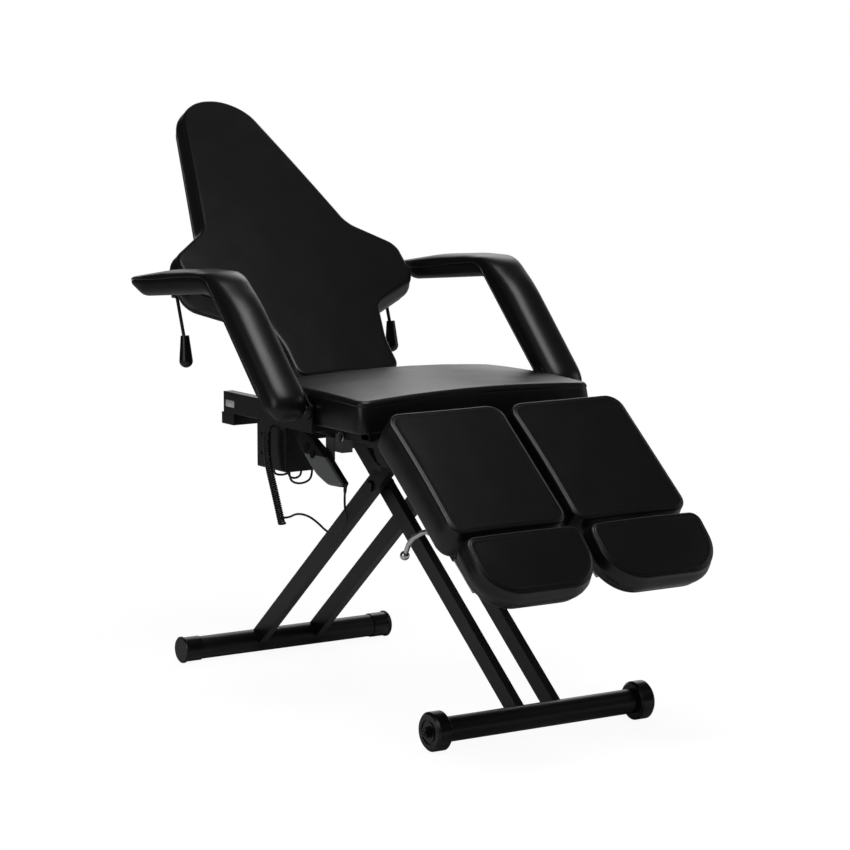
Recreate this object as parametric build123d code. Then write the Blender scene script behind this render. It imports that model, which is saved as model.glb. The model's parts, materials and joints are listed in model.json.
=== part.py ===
from build123d import *
import math
import os

os.makedirs("parts", exist_ok=True)

# Millimetres. Y points to the back of the chair, Z up, and the chair is the same left and right of X = 0.
# The origin is the middle of the footprint, on the floor.

# Lift: two pairs of crossed legs between two floor bars and the upper frame
rear_bar_y = 465.0
rear_cap_radius = 31.5
roller_radius = 42.5
lower_arm = 686.7
upper_arm = 190.0
leg_midline_angle = 39.85
lift_low_angle = 29.0
lift_high_angle = 48.0

# Floor bars
bar_radius = 27.0
bar_wall = 2.5
rear_bar_width = 576.0
front_bar_width = 568.9
cap_rim = 8.0
cap_sleeve = 40.0
cap_sleeve_wall = 2.0
roller_width = 37.0
roller_chamfer = 5.0
roller_ring = 27.0
roller_ring_depth = 2.5

# Legs and the steel they turn on
leg_width = 20.0
leg_depth = 40.0
tube_wall = 2.0
outer_leg_x = 79.5
inner_leg_x = 48.0
bolt_radius = 8.0
bolt_head_radius = 13.0
bolt_head = 7.0
running_gap = 0.05
fit_gap = 0.1
side_gap = 0.5
bush_radius = 13.0

# Crosshead: its axle, the slide blocks and the channels they run in
slide_length = 24.0
slide_height = 20.0
slide_width = 20.0
track_gap = 1.0
track_wall = 3.0
axle_ring = 5.0

# Actuator between the crosshead and the rear cross tube
actuator_radius = 14.0
actuator_rod_radius = 7.5
actuator_gap = 0.5
actuator_end_y = 478.0
actuator_rod_length = 172.0
motor_radius = 19.0
motor_from_y = 330.0
motor_to_y = 452.0

# Upper frame
rail_x = 107.5
rail_width = 25.0
rail_height = 50.0
rail_bottom = 579.0
rail_rear_y = 541.0
rail_front_y = -400.0
plug_rim = 3.0
plug_depth = 12.0
rear_cross_y = 524.5
rear_cross_depth = 57.0
rear_cross_height = 28.0
middle_cross_y = 170.0
middle_cross_depth = 25.0
middle_cross_height = 20.0
bearer_height = 16.0
bearer_depth = 34.0
front_bearer_y = -338.0
arm_bearer_y = -140.0
back_bearer_y = 25.0
lug_plate = 6.0

# Seat
seat_half = 305.0
seat_front_y = -359.0
seat_rear_y = 56.0
seat_crown_z = 733.0
seat_ball = 3774.0
seat_corner = 26.0
board_plate = 14.0
board_inset = 7.0
draw_in = 4.0
pad_round = 9.0
soft_gap = 0.3
pad_crown = 4.0
pad_bevel = 5.0
drawn_share = 0.8

# Backrest, measured up its face from the seam line near the seat
back_foot_y = 149.0
back_foot_z = 700.0
back_lean_angle = 47.2
back_thickness = 68.0
back_half_bottom = 141.0
back_bottom = 15.0
back_waist = 212.0
back_waist_half = 168.0
wing_past_seat = 1.0
back_wing_half = seat_half + wing_past_seat
back_wing_low = 282.0
back_wing_high = 396.0
back_neck = 472.0
back_neck_half = 199.0
back_top = 902.0
back_top_half = 81.0
back_ball = 9000.0
back_tube = 25.0
back_tube_x = 80.0
back_tube_top = 690.0
back_hinge_y = 207.0
back_hinge_z = 640.0
back_pin_radius = 6.0
back_crown = 6.0
back_corner = 30.0
back_wing_corner = 40.0
back_neck_corner = 46.0
back_head_corner = 100.0
back_waist_blend = 160.0
back_waist_corner = 20.0
back_tube_low = -12.0
back_bar_low = 152.0
back_bar_middle = 430.0
back_bar_depth = 20.0

# Gas spring of the backrest: both ends lie this far from the hinge
spring_arm = 110.0
spring_anchor_angle = -95.0
spring_x = 34.0
spring_radius = 11.0
spring_rod_radius = 4.0
spring_eye = 9.0
spring_pin_radius = 4.0
spring_body = 132.0
spring_rod = 140.0

# Release lever of the backrest
release_y = 499.0
release_z = 868.0
release_radius = 4.0
release_inset = 20.0
release_half = seat_half - release_inset
release_bend_y = 472.0
release_bend_z = 874.0
release_bend = 12.0
grip_top_y = 435.0
grip_top_z = 783.0
grip_bottom_y = 429.0
grip_bottom_z = 708.0
grip_top_radius = 10.0
grip_low_radius = 16.0

# Leg rests, measured down their faces from the upper edge
leg_edge_y = -451.0
leg_edge_z = 702.5
leg_tilt_angle = 39.5
leg_pad_inner = 9.0
leg_pad_outer = back_wing_half
leg_pad_length = 345.0
leg_pad_thickness = 78.0
leg_pad_corner = 24.0
leg_ball = 5200.0
leg_hinge_along = 8.0
leg_hinge_under = 94.0
strap_plate = 4.0
arm_bar_width = 20.0
arm_bar_height = 24.0
leg_bar_gap = 15.0
leg_bar_inner = rail_x + rail_width / 2 + leg_bar_gap
leg_bar_inset = 81.0
leg_bar_outer = leg_pad_outer - leg_bar_inset
leg_centre = (leg_pad_inner + leg_pad_outer) / 2
leg_half = (leg_pad_outer - leg_pad_inner) / 2
strap_width = 36.0
strap_margin = 10.0
hinge_rod_radius = 6.0
hinge_tube_radius = 11.0

# Ratchet of the leg rests: a toothed lug, and a pawl on a carrier of the leg rest's frame
sector_inset = 38.0
sector_x = leg_pad_outer - sector_inset
sector_radius = 48.0
sector_from_angle = -108.0
sector_to_angle = -12.0
tooth_count = 16
tooth_height = 3.0
bearer_margin = 12.0
front_bearer_half = sector_x + bearer_margin
inner_lug_x = arm_bar_width / 2 + side_gap - leg_bar_inner
carrier_gap = 8.0
carrier_from = carrier_gap - sector_x
pawl_reach = 62.0
pawl_angle = -50.0
pawl_lead_angle = -20.0
pawl_pin_radius = 4.0
pawl_boss_radius = 7.5
pawl_neck_share = 0.7
pawl_tail_share = 0.9

# Foot pads on their rods
foot_gap = 23.4
foot_rise = 18.0
foot_tilt_angle = 47.0
foot_inset = 3.5
foot_half = leg_half - foot_inset
foot_depth = 150.0
foot_thickness = 65.0
foot_rear_corner = 24.0
foot_front_corner = 88.0
foot_ball = 2600.0
slide_rod_radius = 6.0
guide_radius = 9.0
guide_from = 120.0
guide_inset = 10.0
guide_to = leg_pad_length - guide_inset
slide_spread = 100.0
foot_rod_from = 150.0
foot_rod_reach = 80.0
foot_rod_to = leg_pad_length + foot_rod_reach
foot_plate_gap = 33.0
foot_plate_from = leg_pad_length + foot_plate_gap
foot_plate_rise = 80.0

# Clamp lever of the foot rods
clamp_inset = 90.0
clamp_along = leg_pad_length - clamp_inset
clamp_shaft_radius = 5.0
clamp_boss_radius = 8.5
clamp_hub = 14.0
clamp_reach = 100.0
clamp_arm_radius = 5.5
clamp_ball_radius = 10.5
clamp_bend_shares = [(-0.08, -0.1), (-0.2, -0.26), (-0.36, -0.6), (-0.4, -0.84), (-0.35, -1.15)]
clamp_turn_shares = [0.06, 0.12, 0.3, 0.4]

# Armrests
arm_gap = 17.0
arm_inner = seat_half + arm_gap
arm_width = 96.0
arm_pivot_y = -161.0
arm_pivot_z = 679.0
arm_length = 653.0
arm_height = 284.0
arm_tip_y = arm_pivot_y + arm_length
arm_plate_gap = 7.0
arm_plate_x = seat_half + arm_plate_gap
arm_plate = 5.0
arm_tang = 4.0
arm_tang_x = arm_inner - arm_tang
arm_tang_length = 130.0
arm_foot_radius = 24.0
arm_centre = arm_inner + arm_width / 2
arm_tip_half = 34.0
arm_taper = 97.0
arm_seam_shares = [(0.9204, 0.8134), (0.7672, 0.8169), (0.5528, 0.8944), (0.3966, 0.9401),
    (0.0597, 0.1127)]
arm_under_shares = [(0.0735, 0.0810), (0.3752, 0.8380), (0.6462, 0.7746), (0.8361, 0.7289)]
arm_top_shares = [(-0.0168, -0.0845), (-0.0689, 0.0387), (-0.0230, 0.1725), (0.2435, 0.7817),
    (0.3752, 0.9965), (0.5161, 1.0000), (0.7305, 0.9577), (1.0000, 0.8556), (0.9939, 0.7887)]
arm_seam_radius_shares = [0.4594, 0.6126, 0.0459]
arm_under_radius_shares = [0.0919, 0.0919]
arm_top_radius_shares = [0.0276, 0.0368, 0.0919, 0.4594, 0.0919, 0.4594, 0.7657, 0.0138, 0.0092]

# Control box under the left rail
box_outer = -120.0
box_inner = -29.0
box_front_y = 260.0
box_rear_y = 387.0
box_bottom = 468.0
cover_depth = 34.0
screw_radius = 4.0
screw_head = 2.0
lid_screw_side = 9.0
lid_screw_end = 11.0
side_screw_back = 17.0
side_screw_end = 33.0
box_edge = 4.0
cable_radius = 1.75
cable_turn = 15.0
cable_sag = 28.0
cable_curve_share = 0.8
cable_shares = [(0.118, 0.220, 0.901, 1.0), (0.315, 0.352, 0.747, 0.7), (0.512, 0.088, 0.593, 0.5)]

# Curly cord between the control box and the handset's lead
curl_route = [
    (-140.0, 308.0, 560.0), (-140.0, 311.0, 520.0), (-140.0, 302.0, 480.0),
    (-140.0, 281.0, 436.0), (-140.0, 262.0, 394.0), (-140.0, 244.0, 352.0),
]
curl_radius = 8.5
wire_radius = 1.6
outlet_route = [
    (-120.0, 308.0, 573.0), (-132.0, 308.0, 573.0), (-140.0, 308.0, 569.0), (-140.0, 308.0, 560.0),
]
lead_route = [
    (-138.0, 250.0, 366.0), (-138.0, 219.0, 369.0), (-138.0, 180.0, 386.0), (-139.0, 128.0, 388.0),
    (-141.0, 82.0, 378.0), (-141.0, 45.0, 363.0), (-141.0, 10.0, 362.0), (-141.0, -24.0, 373.0),
    (-141.0, -46.0, 400.0), (-141.0, -30.0, 432.0), (-141.0, -34.0, 464.0),
]
turn_share = 0.45

# Handset, hung on its hook under the left rail
handset_x = -152.0
handset_y = 38.0
handset_z = 529.0
handset_slope_angle = 26.7
handset_roll_angle = 10.0
handset_length = 202.0
handset_width = 53.0
handset_half = 13.0
handset_split = 5.0
handset_outline_shares = [(-0.5149, -0.2264), (-0.5149, 0.1887), (-0.2970, 0.3774), (-0.0495, 0.3774),
    (0.4851, 0.0755), (0.4851, -0.1509), (0.2970, -0.5283), (0.0495, -0.6226), (-0.2475, -0.4528)]
handset_radius_shares = [0.0495, 0.0396, 0.2970, 0.2970, 0.0248, 0.0248, 0.2970, 0.2970, 0.2970]
button_shares = [(-0.287, -0.038), (-0.139, -0.075)]
button_half = 9.0
button_gap = 0.4
button_rise = 1.4
relief_length = 26.0
relief_radius = 5.0

# Hook of the handset and the split ring beside it
hook_outer = -125.0
hook_front = 3.0
hook_rear = 63.0
hook_low = 547.0
hook_tongue = 520.0
hook_pin_y = 44.0
hook_pin_z = 532.0
hook_pin_radius = 6.0
ring_y = 4.0
ring_z = 584.0
ring_radius = 10.5
ring_wire = 1.3
ring_lug = 6.0
wire_sides = 8

over = 60.0


def step(point, angle, distance):
    """The (y, z) point at a distance from another, at an angle measured from +Y towards +Z."""
    turn = math.radians(angle)
    return (point[0] + distance * math.cos(turn), point[1] + distance * math.sin(turn))


def angle_of(start, end):
    return math.degrees(math.atan2(end[1] - start[1], end[0] - start[0]))


def rod(radius, x_from, x_to, point):
    """A round bar along X, about a (y, z) point."""
    body = Rot(0, 90, 0) * Cylinder(radius, abs(x_to - x_from))
    return Pos((x_from + x_to) / 2, point[0], point[1]) * body


def bar(start, end, x, width, depth):
    """A flat-sided bar between two (y, z) points, with its width along X."""
    length = math.dist(start, end)
    middle = ((start[0] + end[0]) / 2, (start[1] + end[1]) / 2)
    return Pos(x, middle[0], middle[1]) * Rot(angle_of(start, end), 0, 0) * Box(width, length, depth)


def round_bar(start, end, x, radius):
    """A round bar between two (y, z) points, in a plane across X."""
    middle = ((start[0] + end[0]) / 2, (start[1] + end[1]) / 2)
    turn = Rot(angle_of(start, end) + 90, 0, 0)
    return Pos(x, middle[0], middle[1]) * turn * Cylinder(radius, math.dist(start, end))


def block(x_from, x_to, y_from, y_to, z_from, z_to):
    size = Box(abs(x_to - x_from), abs(y_to - y_from), abs(z_to - z_from))
    return Pos((x_from + x_to) / 2, (y_from + y_to) / 2, (z_from + z_to) / 2) * size


def side_plate(outline, x_from, x_to):
    """A plate cut to an outline of (y, z) points, between two places along X."""
    face = Plane.YZ.offset(min(x_from, x_to)) * make_face(Polyline(*outline, close=True))
    return extrude(face, amount=abs(x_to - x_from))


def rounded_side_plate(outline, radii, x_from, x_to):
    wire = FilletPolyline(*outline, radius=radii, close=True)
    return extrude(Plane.YZ.offset(min(x_from, x_to)) * make_face(wire), amount=abs(x_to - x_from))


def pair(shape):
    """A piece of the left side and its twin on the right."""
    return [shape, mirror(shape, about=Plane.YZ)]


def save(name, *shapes):
    solids = []
    for shape in shapes:
        members = shape if isinstance(shape, list) else [shape]
        for member in members:
            solids += list(member.solids())
    export_step(Compound(solids), f"parts/{name}.step")


# Places that follow from the lift
bar_spacing = 2 * lower_arm * math.cos(math.radians(leg_midline_angle))
frame_slope = math.degrees(math.asin((roller_radius - rear_cap_radius) / bar_spacing))
rear_bar = (rear_bar_y, rear_cap_radius)
front_bar = step(rear_bar, 180 - frame_slope, bar_spacing)
outer_angle = 180 - leg_midline_angle - frame_slope
inner_angle = leg_midline_angle - frame_slope
crossing = step(rear_bar, outer_angle, lower_arm)
lift_pivot = step(rear_bar, outer_angle, lower_arm + upper_arm)
crosshead = step(front_bar, inner_angle, lower_arm + upper_arm)


def crosshead_at(angle):
    """Where the crosshead axle stands when the legs make this angle with their midline."""
    reach = 2 * upper_arm * math.cos(math.radians(angle))
    return step(lift_pivot, -frame_slope, reach)


# Places that follow from the upper frame
rail_top = rail_bottom + rail_height
rail_inner = rail_x - rail_width / 2
rail_outer = rail_x + rail_width / 2
bearer_top = rail_top + bearer_height
back_hinge = (back_hinge_y, back_hinge_z)
back_line = 90 - back_lean_angle
spring_low = step(back_hinge, spring_anchor_angle, spring_arm)
spring_high = step(back_hinge, back_line, spring_arm)
arm_pivot = (arm_pivot_y, arm_pivot_z)


def back_point(along, out):
    """The (y, z) point this far up the backrest's face and this far out of it."""
    return step(step((back_foot_y, back_foot_z), back_line, along), back_line + 90, out)


def leg_point(along, out):
    """The (y, z) point this far down a leg rest's face and this far out of it."""
    return step(step((leg_edge_y, leg_edge_z), 180 + leg_tilt_angle, along), 90 + leg_tilt_angle, out)


leg_hinge = leg_point(leg_hinge_along, -leg_hinge_under)


def square_tube(start, end, x, width, depth, bushes):
    """A rectangular tube between two (y, z) points, solid round each bush that a bolt goes through."""
    hollow = bar(start, end, x, width - 2 * tube_wall, depth - 2 * tube_wall)
    for point in bushes:
        hollow -= rod(bush_radius, x - width, x + width, point)
    return bar(start, end, x, width, depth) - hollow


def scissor_leg(foot, top, x):
    """One leg: open below against its floor bar, closed and rounded above round the upper pivot."""
    line = angle_of(foot, top)
    body = bar(foot, top, x, leg_width, leg_depth)
    body += rod(leg_depth / 2, x - leg_width / 2, x + leg_width / 2, top)
    hollow_end = step(top, line, -bush_radius)
    hollow = bar(foot, hollow_end, x, leg_width - 2 * tube_wall, leg_depth - 2 * tube_wall)
    hollow -= rod(bush_radius, x - leg_width, x + leg_width, crossing)
    hollow -= rod(bush_radius, x - leg_width, x + leg_width, top)
    body -= hollow
    body -= rod(bar_radius + running_gap, x - leg_width, x + leg_width, foot)
    for point in (crossing, top):
        body -= rod(bolt_radius + running_gap, x - leg_width, x + leg_width, point)
    return body


def rear_floor_tube():
    half = rear_bar_width / 2 - cap_rim
    return rod(bar_radius, -half, half, rear_bar) - rod(bar_radius - bar_wall, -half, half, rear_bar)


def rear_end_cap():
    """A plastic cap: a wide rim that stands on the floor and a sleeve over the end of the bar."""
    end = -rear_bar_width / 2
    rim = chamfer(rod(rear_cap_radius, end, end + cap_rim, rear_bar).edges(), cap_rim / 4)
    sleeve_radius = bar_radius + fit_gap + cap_sleeve_wall
    sleeve = rod(sleeve_radius, end + cap_rim / 2, end + cap_rim + cap_sleeve, rear_bar)
    return rim + sleeve - rod(bar_radius + fit_gap, end + cap_rim, end + cap_rim + cap_sleeve, rear_bar)


def front_floor_tube():
    """The front bar, closed at each end by a welded disc that holds the axle bolt of its roller."""
    half = front_bar_width / 2 - roller_width - side_gap
    inside = half - cap_rim
    shell = rod(bar_radius, -half, half, front_bar) - rod(bar_radius - bar_wall, -inside, inside, front_bar)
    return shell - rod(bolt_radius, -half - over, half + over, front_bar)


def roller():
    """A solid plastic wheel with chamfered rims and a turned step in its outer face."""
    end = -front_bar_width / 2
    wheel = rod(roller_radius, end, end + roller_width, front_bar)
    wheel = chamfer(wheel.edges().filter_by(GeomType.CIRCLE), roller_chamfer)
    groove = rod(roller_ring, end, end + roller_ring_depth, front_bar)
    groove -= rod(roller_ring - 2 * roller_ring_depth, end, end + roller_ring_depth, front_bar)
    return wheel - groove - rod(bolt_radius + running_gap, end, end + roller_width, front_bar)


def roller_bolt():
    """The axle bolt of a roller, with its domed nut outside."""
    end = -front_bar_width / 2
    inside = end + roller_width + side_gap + cap_rim + bolt_head
    shank = rod(bolt_radius, end - bolt_head, inside, front_bar)
    washer = rod(bolt_head_radius, end - side_gap - screw_head, end - side_gap, front_bar)
    nut_end = end - side_gap - screw_head - bolt_head
    nut = rod(bolt_head_radius - screw_head, nut_end, end - side_gap, front_bar)
    dome = Pos(nut_end, front_bar[0], front_bar[1]) * Sphere(bolt_radius)
    head = rod(bolt_head_radius, inside - bolt_head, inside, front_bar)
    return shank + washer + nut + dome + head


def crossing_bolt():
    """The bolt that ties one outer leg to one inner leg, with the distance ring between them."""
    head_to = -outer_leg_x - leg_width / 2
    nut_from = -inner_leg_x + leg_width / 2
    shank = rod(bolt_radius, head_to - bolt_head, nut_from + bolt_head, crossing)
    head = rod(bolt_head_radius, head_to - bolt_head, head_to - side_gap, crossing)
    head = chamfer(head.edges(), screw_head)
    ring_from = -outer_leg_x + leg_width / 2 + side_gap
    ring_to = -inner_leg_x - leg_width / 2 - side_gap
    ring = rod(bolt_head_radius, ring_from, ring_to, crossing)
    nut = rod(bolt_head_radius, nut_from + side_gap, nut_from + bolt_head, crossing)
    return shank + head + ring + nut


def lift_bolt():
    """The bolt that hangs one outer leg on its rail."""
    leg_from = -outer_leg_x - leg_width / 2
    leg_to = -outer_leg_x + leg_width / 2
    shank = rod(bolt_radius, -rail_outer - bolt_head, leg_to + bolt_head, lift_pivot)
    head = rod(bolt_head_radius, -rail_outer - bolt_head, -rail_outer, lift_pivot)
    ring = rod(bolt_head_radius, -rail_inner, leg_from - side_gap, lift_pivot)
    nut = rod(bolt_head_radius, leg_to + side_gap, leg_to + bolt_head, lift_pivot)
    return shank + head + ring + nut


def back_pin():
    """The pin of the backrest hinge, through the lug and the frame tube."""
    tube_to = -back_tube_x + back_tube / 2
    lug_from = -rail_inner - lug_plate
    shank = rod(back_pin_radius, lug_from - bolt_head, tube_to + bolt_head, back_hinge)
    head = rod(bolt_head_radius - screw_head, lug_from - bolt_head, lug_from, back_hinge)
    nut = rod(bolt_head_radius - screw_head, tube_to + side_gap, tube_to + bolt_head, back_hinge)
    return shank + head + nut


def arm_bolt():
    """The bolt that one armrest swings on."""
    inside = -arm_plate_x + bolt_head - screw_head
    outside = -arm_inner - bolt_head
    shank = rod(back_pin_radius, outside, inside, arm_pivot)
    nut = rod(bolt_head_radius - screw_head, -arm_plate_x, inside, arm_pivot)
    head = rod(bolt_head_radius - screw_head, outside, -arm_inner - side_gap, arm_pivot)
    return shank + nut + head


def spring_pin():
    """The pin of the gas spring's lower end."""
    reach = spring_radius + 2 * side_gap + strap_plate + screw_head
    return rod(spring_pin_radius, spring_x - reach, spring_x + reach, spring_low)


def rail():
    """One rail of the upper frame, open at both ends, with a bush for the lift bolt."""
    middle = rail_bottom + rail_height / 2
    start = (rail_front_y, middle)
    end = (rail_rear_y, middle)
    tube = square_tube(start, end, -rail_x, rail_width, rail_height, [lift_pivot])
    tube -= rod(bolt_radius + running_gap, -rail_outer, -rail_inner, lift_pivot)
    return fillet(tube.edges().filter_by(Axis.Y).group_by(Axis.X)[0], tube_wall)


def rail_plug(y, inward):
    """A plastic plug in one end of a rail."""
    middle = rail_bottom + rail_height / 2
    rim = block(-rail_outer, -rail_inner, y, y - inward * plug_rim, rail_bottom, rail_top)
    wall = tube_wall + fit_gap
    half = rail_height / 2 - wall
    inner_y = y + inward * plug_depth
    neck = block(-rail_outer + wall, -rail_inner - wall, y, inner_y, middle - half, middle + half)
    return rim + neck


def rear_cross_tube():
    """The wide flat tube under the rear ends of the rails, with its end plugs let in flush."""
    y_from = rear_cross_y - rear_cross_depth / 2
    y_to = rear_cross_y + rear_cross_depth / 2
    body = block(-rail_outer, rail_outer, y_from, y_to, rail_bottom - rear_cross_height, rail_bottom)
    return fillet(body.edges().filter_by(Axis.X), tube_wall)


def middle_cross_tube():
    y_from = middle_cross_y - middle_cross_depth / 2
    y_to = middle_cross_y + middle_cross_depth / 2
    outer = block(-rail_outer, rail_outer, y_from, y_to, rail_bottom - middle_cross_height, rail_bottom)
    inner = block(
        -rail_outer, rail_outer, y_from + tube_wall, y_to - tube_wall,
        rail_bottom - middle_cross_height + tube_wall, rail_bottom - tube_wall,
    )
    return outer - inner


def seat_bearer(y, half):
    """A flat tube across the rails, under the seat board."""
    start = (y - bearer_depth / 2, rail_top + bearer_height / 2)
    end = (y + bearer_depth / 2, rail_top + bearer_height / 2)
    outer = bar(start, end, 0, 2 * half, bearer_height)
    inner_start = (start[0] + tube_wall, start[1])
    inner_end = (end[0] - tube_wall, end[1])
    return outer - bar(inner_start, inner_end, 0, 2 * half, bearer_height - 2 * tube_wall)


def arm_bracket():
    """The upright plate beside the seat that carries one armrest's bolt and stop."""
    front = arm_pivot_y - bolt_head_radius - lug_plate
    rear = back_bearer_y + bearer_depth / 2 + bolt_head
    top = arm_pivot_z + bolt_head_radius + screw_head
    outline = [(front, rail_top), (rear, rail_top), (rear, top), (front, top)]
    radii = [screw_head, bolt_head_radius, bolt_head_radius, bolt_head_radius]
    plate = rounded_side_plate(outline, radii, -arm_plate_x - arm_plate, -arm_plate_x)
    return plate - rod(back_pin_radius + fit_gap, -arm_plate_x - arm_plate, -arm_plate_x, arm_pivot)


def lift_track():
    """The channel inside a rail that the crosshead's slide block runs in."""
    line = -frame_slope
    front = step(crosshead_at(lift_high_angle), line, -slide_length / 2 - track_wall)
    rear = step(crosshead_at(lift_low_angle), line, slide_length / 2 + track_wall)
    height = slide_height + 2 * track_gap
    width = slide_width + track_gap
    x = -rail_inner + (width + track_wall) / 2
    body = bar(front, rear, x, width + track_wall, height + 2 * track_wall)
    return body - bar(front, rear, x + track_wall / 2, width, height)


def slide_block():
    """A plastic block on the end of the crosshead axle."""
    inner = -rail_inner + track_wall + track_gap
    line = -frame_slope
    start = step(crosshead, line, -slide_length / 2)
    end = step(crosshead, line, slide_length / 2)
    body = bar(start, end, inner + slide_width / 2, slide_width, slide_height)
    return body - rod(bolt_radius, inner + track_wall, inner + 2 * slide_width, crosshead)


def crosshead_axle():
    """The axle through the tops of the inner legs, with a welded ring each side of each leg."""
    end = rail_inner - 2 * track_wall - track_gap
    axle = rod(bolt_radius, -end, end, crosshead)
    inside = inner_leg_x - leg_width / 2 - side_gap
    outside = inner_leg_x + leg_width / 2 + side_gap + axle_ring
    for side in (-1, 1):
        for face in (inside, outside):
            axle += rod(bolt_head_radius, side * face, side * (face - axle_ring), crosshead)
    return axle


def actuator_line(y):
    """The (y, z) point of the actuator's axis above a place along Y."""
    slope = math.tan(math.radians(-frame_slope))
    return (y, crosshead[1] + (y - crosshead[0]) * slope)


def lift_actuator():
    """The actuator: its tube, the gear head behind it and the motor slung below."""
    nose = crosshead_at(lift_low_angle)[0] + bolt_head_radius + bolt_head
    start = actuator_line(nose)
    end = actuator_line(actuator_end_y)
    length = math.dist(start, end)
    middle = ((start[0] + end[0]) / 2, (start[1] + end[1]) / 2)
    turn = Pos(0, middle[0], middle[1]) * Rot(90 - frame_slope, 0, 0)
    tube = turn * Cylinder(actuator_radius, length)
    bore_end = motor_from_y - motor_radius
    bore_start = actuator_line(nose - over)
    bore_stop = actuator_line(bore_end)
    bore_middle = ((bore_start[0] + bore_stop[0]) / 2, (bore_start[1] + bore_stop[1]) / 2)
    bore = Cylinder(actuator_rod_radius + actuator_gap, math.dist(bore_start, bore_stop))
    tube -= Pos(0, bore_middle[0], bore_middle[1]) * Rot(90 - frame_slope, 0, 0) * bore
    motor_z = actuator_line(motor_from_y)[1] - actuator_radius - motor_radius
    motor = Pos(0, (motor_from_y + motor_to_y) / 2, motor_z) * Rot(90, 0, 0)
    motor = motor * Cylinder(motor_radius, motor_to_y - motor_from_y)
    head_front = motor_from_y - actuator_radius
    head = block(
        -motor_radius, motor_radius, head_front, motor_from_y,
        motor_z - motor_radius, actuator_line(motor_from_y)[1] + actuator_radius,
    )
    head = fillet(head.edges().filter_by(Axis.Y), bolt_head)
    head -= turn * Cylinder(actuator_radius, length)
    yoke = block(
        -actuator_radius, actuator_radius, actuator_end_y, rear_cross_y,
        rail_bottom, actuator_line(actuator_end_y)[1],
    )
    return [tube, motor, head, yoke]


def actuator_rod():
    """The steel rod that pushes the crosshead, with its eye on the axle."""
    eye = rod(bolt_head_radius, -actuator_radius + screw_head, actuator_radius - screw_head, crosshead)
    start = crosshead
    end = actuator_line(crosshead[0] + actuator_rod_length)
    middle = ((start[0] + end[0]) / 2, (start[1] + end[1]) / 2)
    shaft = Cylinder(actuator_rod_radius, math.dist(start, end))
    body = eye + Pos(0, middle[0], middle[1]) * Rot(90 - frame_slope, 0, 0) * shaft
    return body - rod(bolt_radius, -over, over, crosshead)


def back_lug():
    """The plate that holds one backrest pin above its rail."""
    low = [step(back_hinge, 180, bearer_depth), step(back_hinge, 0, bearer_depth)]
    top = back_hinge_z + lug_plate
    outline = [(low[0][0], rail_top), (low[1][0], rail_top), (back_hinge_y + lug_plate, top),
               (back_hinge_y - lug_plate, top)]
    plate = side_plate(outline, -rail_inner - lug_plate, -rail_inner)
    plate += rod(bolt_head_radius, -rail_inner - lug_plate, -rail_inner, back_hinge)
    plate -= block(-rail_outer, rail_outer, low[0][0] - over, low[1][0] + over, rail_bottom, rail_top)
    return plate - rod(back_pin_radius + fit_gap, -rail_outer, -rail_inner, back_hinge)


def spring_lugs():
    """Two plates under the middle cross tube that hold the gas spring's lower pin."""
    low = rail_bottom - middle_cross_height
    front = middle_cross_y - middle_cross_depth / 2
    rear = middle_cross_y + middle_cross_depth / 2
    outline = [(front, low), (rear, low), (spring_low[0] + spring_eye, spring_low[1]),
               (spring_low[0], spring_low[1] - spring_eye), (spring_low[0] - spring_eye, spring_low[1])]
    plates = []
    for side in (-1, 1):
        inside = spring_x + side * (spring_radius + 2 * side_gap)
        outside = inside + side * strap_plate
        plate = side_plate(outline, inside, outside) + rod(spring_eye, inside, outside, spring_low)
        plates.append(plate - rod(spring_pin_radius, inside, outside, spring_low))
    return plates


def leg_lug(x, radius):
    """A hanging plate at the front bearer with a hole for the leg rest's hinge rod."""
    rear = front_bearer_y + bearer_depth / 2
    front = front_bearer_y - bearer_depth / 2
    low = leg_hinge[1] - hinge_tube_radius
    high = leg_hinge[1] + hinge_tube_radius
    outline = [(rear, rail_top), (rear, low), (leg_hinge[0], low), (leg_hinge[0], high), (front, high),
               (front, rail_top)]
    inner = x + lug_plate - screw_head
    plate = side_plate(outline, x, inner) + rod(radius, x, inner, leg_hinge)
    return plate - rod(hinge_rod_radius, x, x + lug_plate, leg_hinge)


def ratchet_lug():
    """The outer lug, whose rear edge is cut in teeth for the pawl."""
    plate = leg_lug(-sector_x, bolt_head_radius)
    root = sector_radius - tooth_height
    pitch = (sector_to_angle - sector_from_angle) / tooth_count
    outline = [leg_hinge]
    for number in range(tooth_count):
        outline.append(step(leg_hinge, sector_from_angle + number * pitch, root))
        outline.append(step(leg_hinge, sector_from_angle + number * pitch + pitch / 2, sector_radius))
    outline.append(step(leg_hinge, sector_to_angle, root))
    teeth = side_plate(outline, -sector_x, -sector_x + lug_plate - screw_head)
    rear = leg_hinge[0] + 2 * sector_radius
    teeth -= block(-sector_x, sector_x, leg_hinge[0], rear, rail_top, rail_top + over)
    return plate + teeth - rod(hinge_rod_radius, -sector_x, -sector_x + lug_plate, leg_hinge)


def leg_hinge_rod():
    return rod(hinge_rod_radius, -sector_x - screw_head, inner_lug_x + lug_plate - screw_head, leg_hinge)


def pad_body(outline, radii, depth, ball, crown, centre):
    """A firm upholstered pad with a face crowned like a large ball, and the edges round that face."""
    wire = FilletPolyline(*outline, radius=radii, close=True)
    body = extrude(make_face(wire), amount=crown) + extrude(make_face(wire), amount=-depth)
    body = body & (Pos(centre[0], centre[1], crown - ball) * Sphere(ball))
    return body, body.faces().sort_by(Axis.Z)[-1].edges()


def seat_outline(inset):
    """The seat's plan, with each side drawn in a little between its corners."""
    half = seat_half - inset
    front = seat_front_y + inset
    rear = seat_rear_y - inset
    middle = (front + rear) / 2
    return [(-half, front), (0, front + draw_in), (half, front), (half - draw_in, middle),
            (half, rear), (0, rear - draw_in), (-half, rear), (-half + draw_in, middle)]


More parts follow.
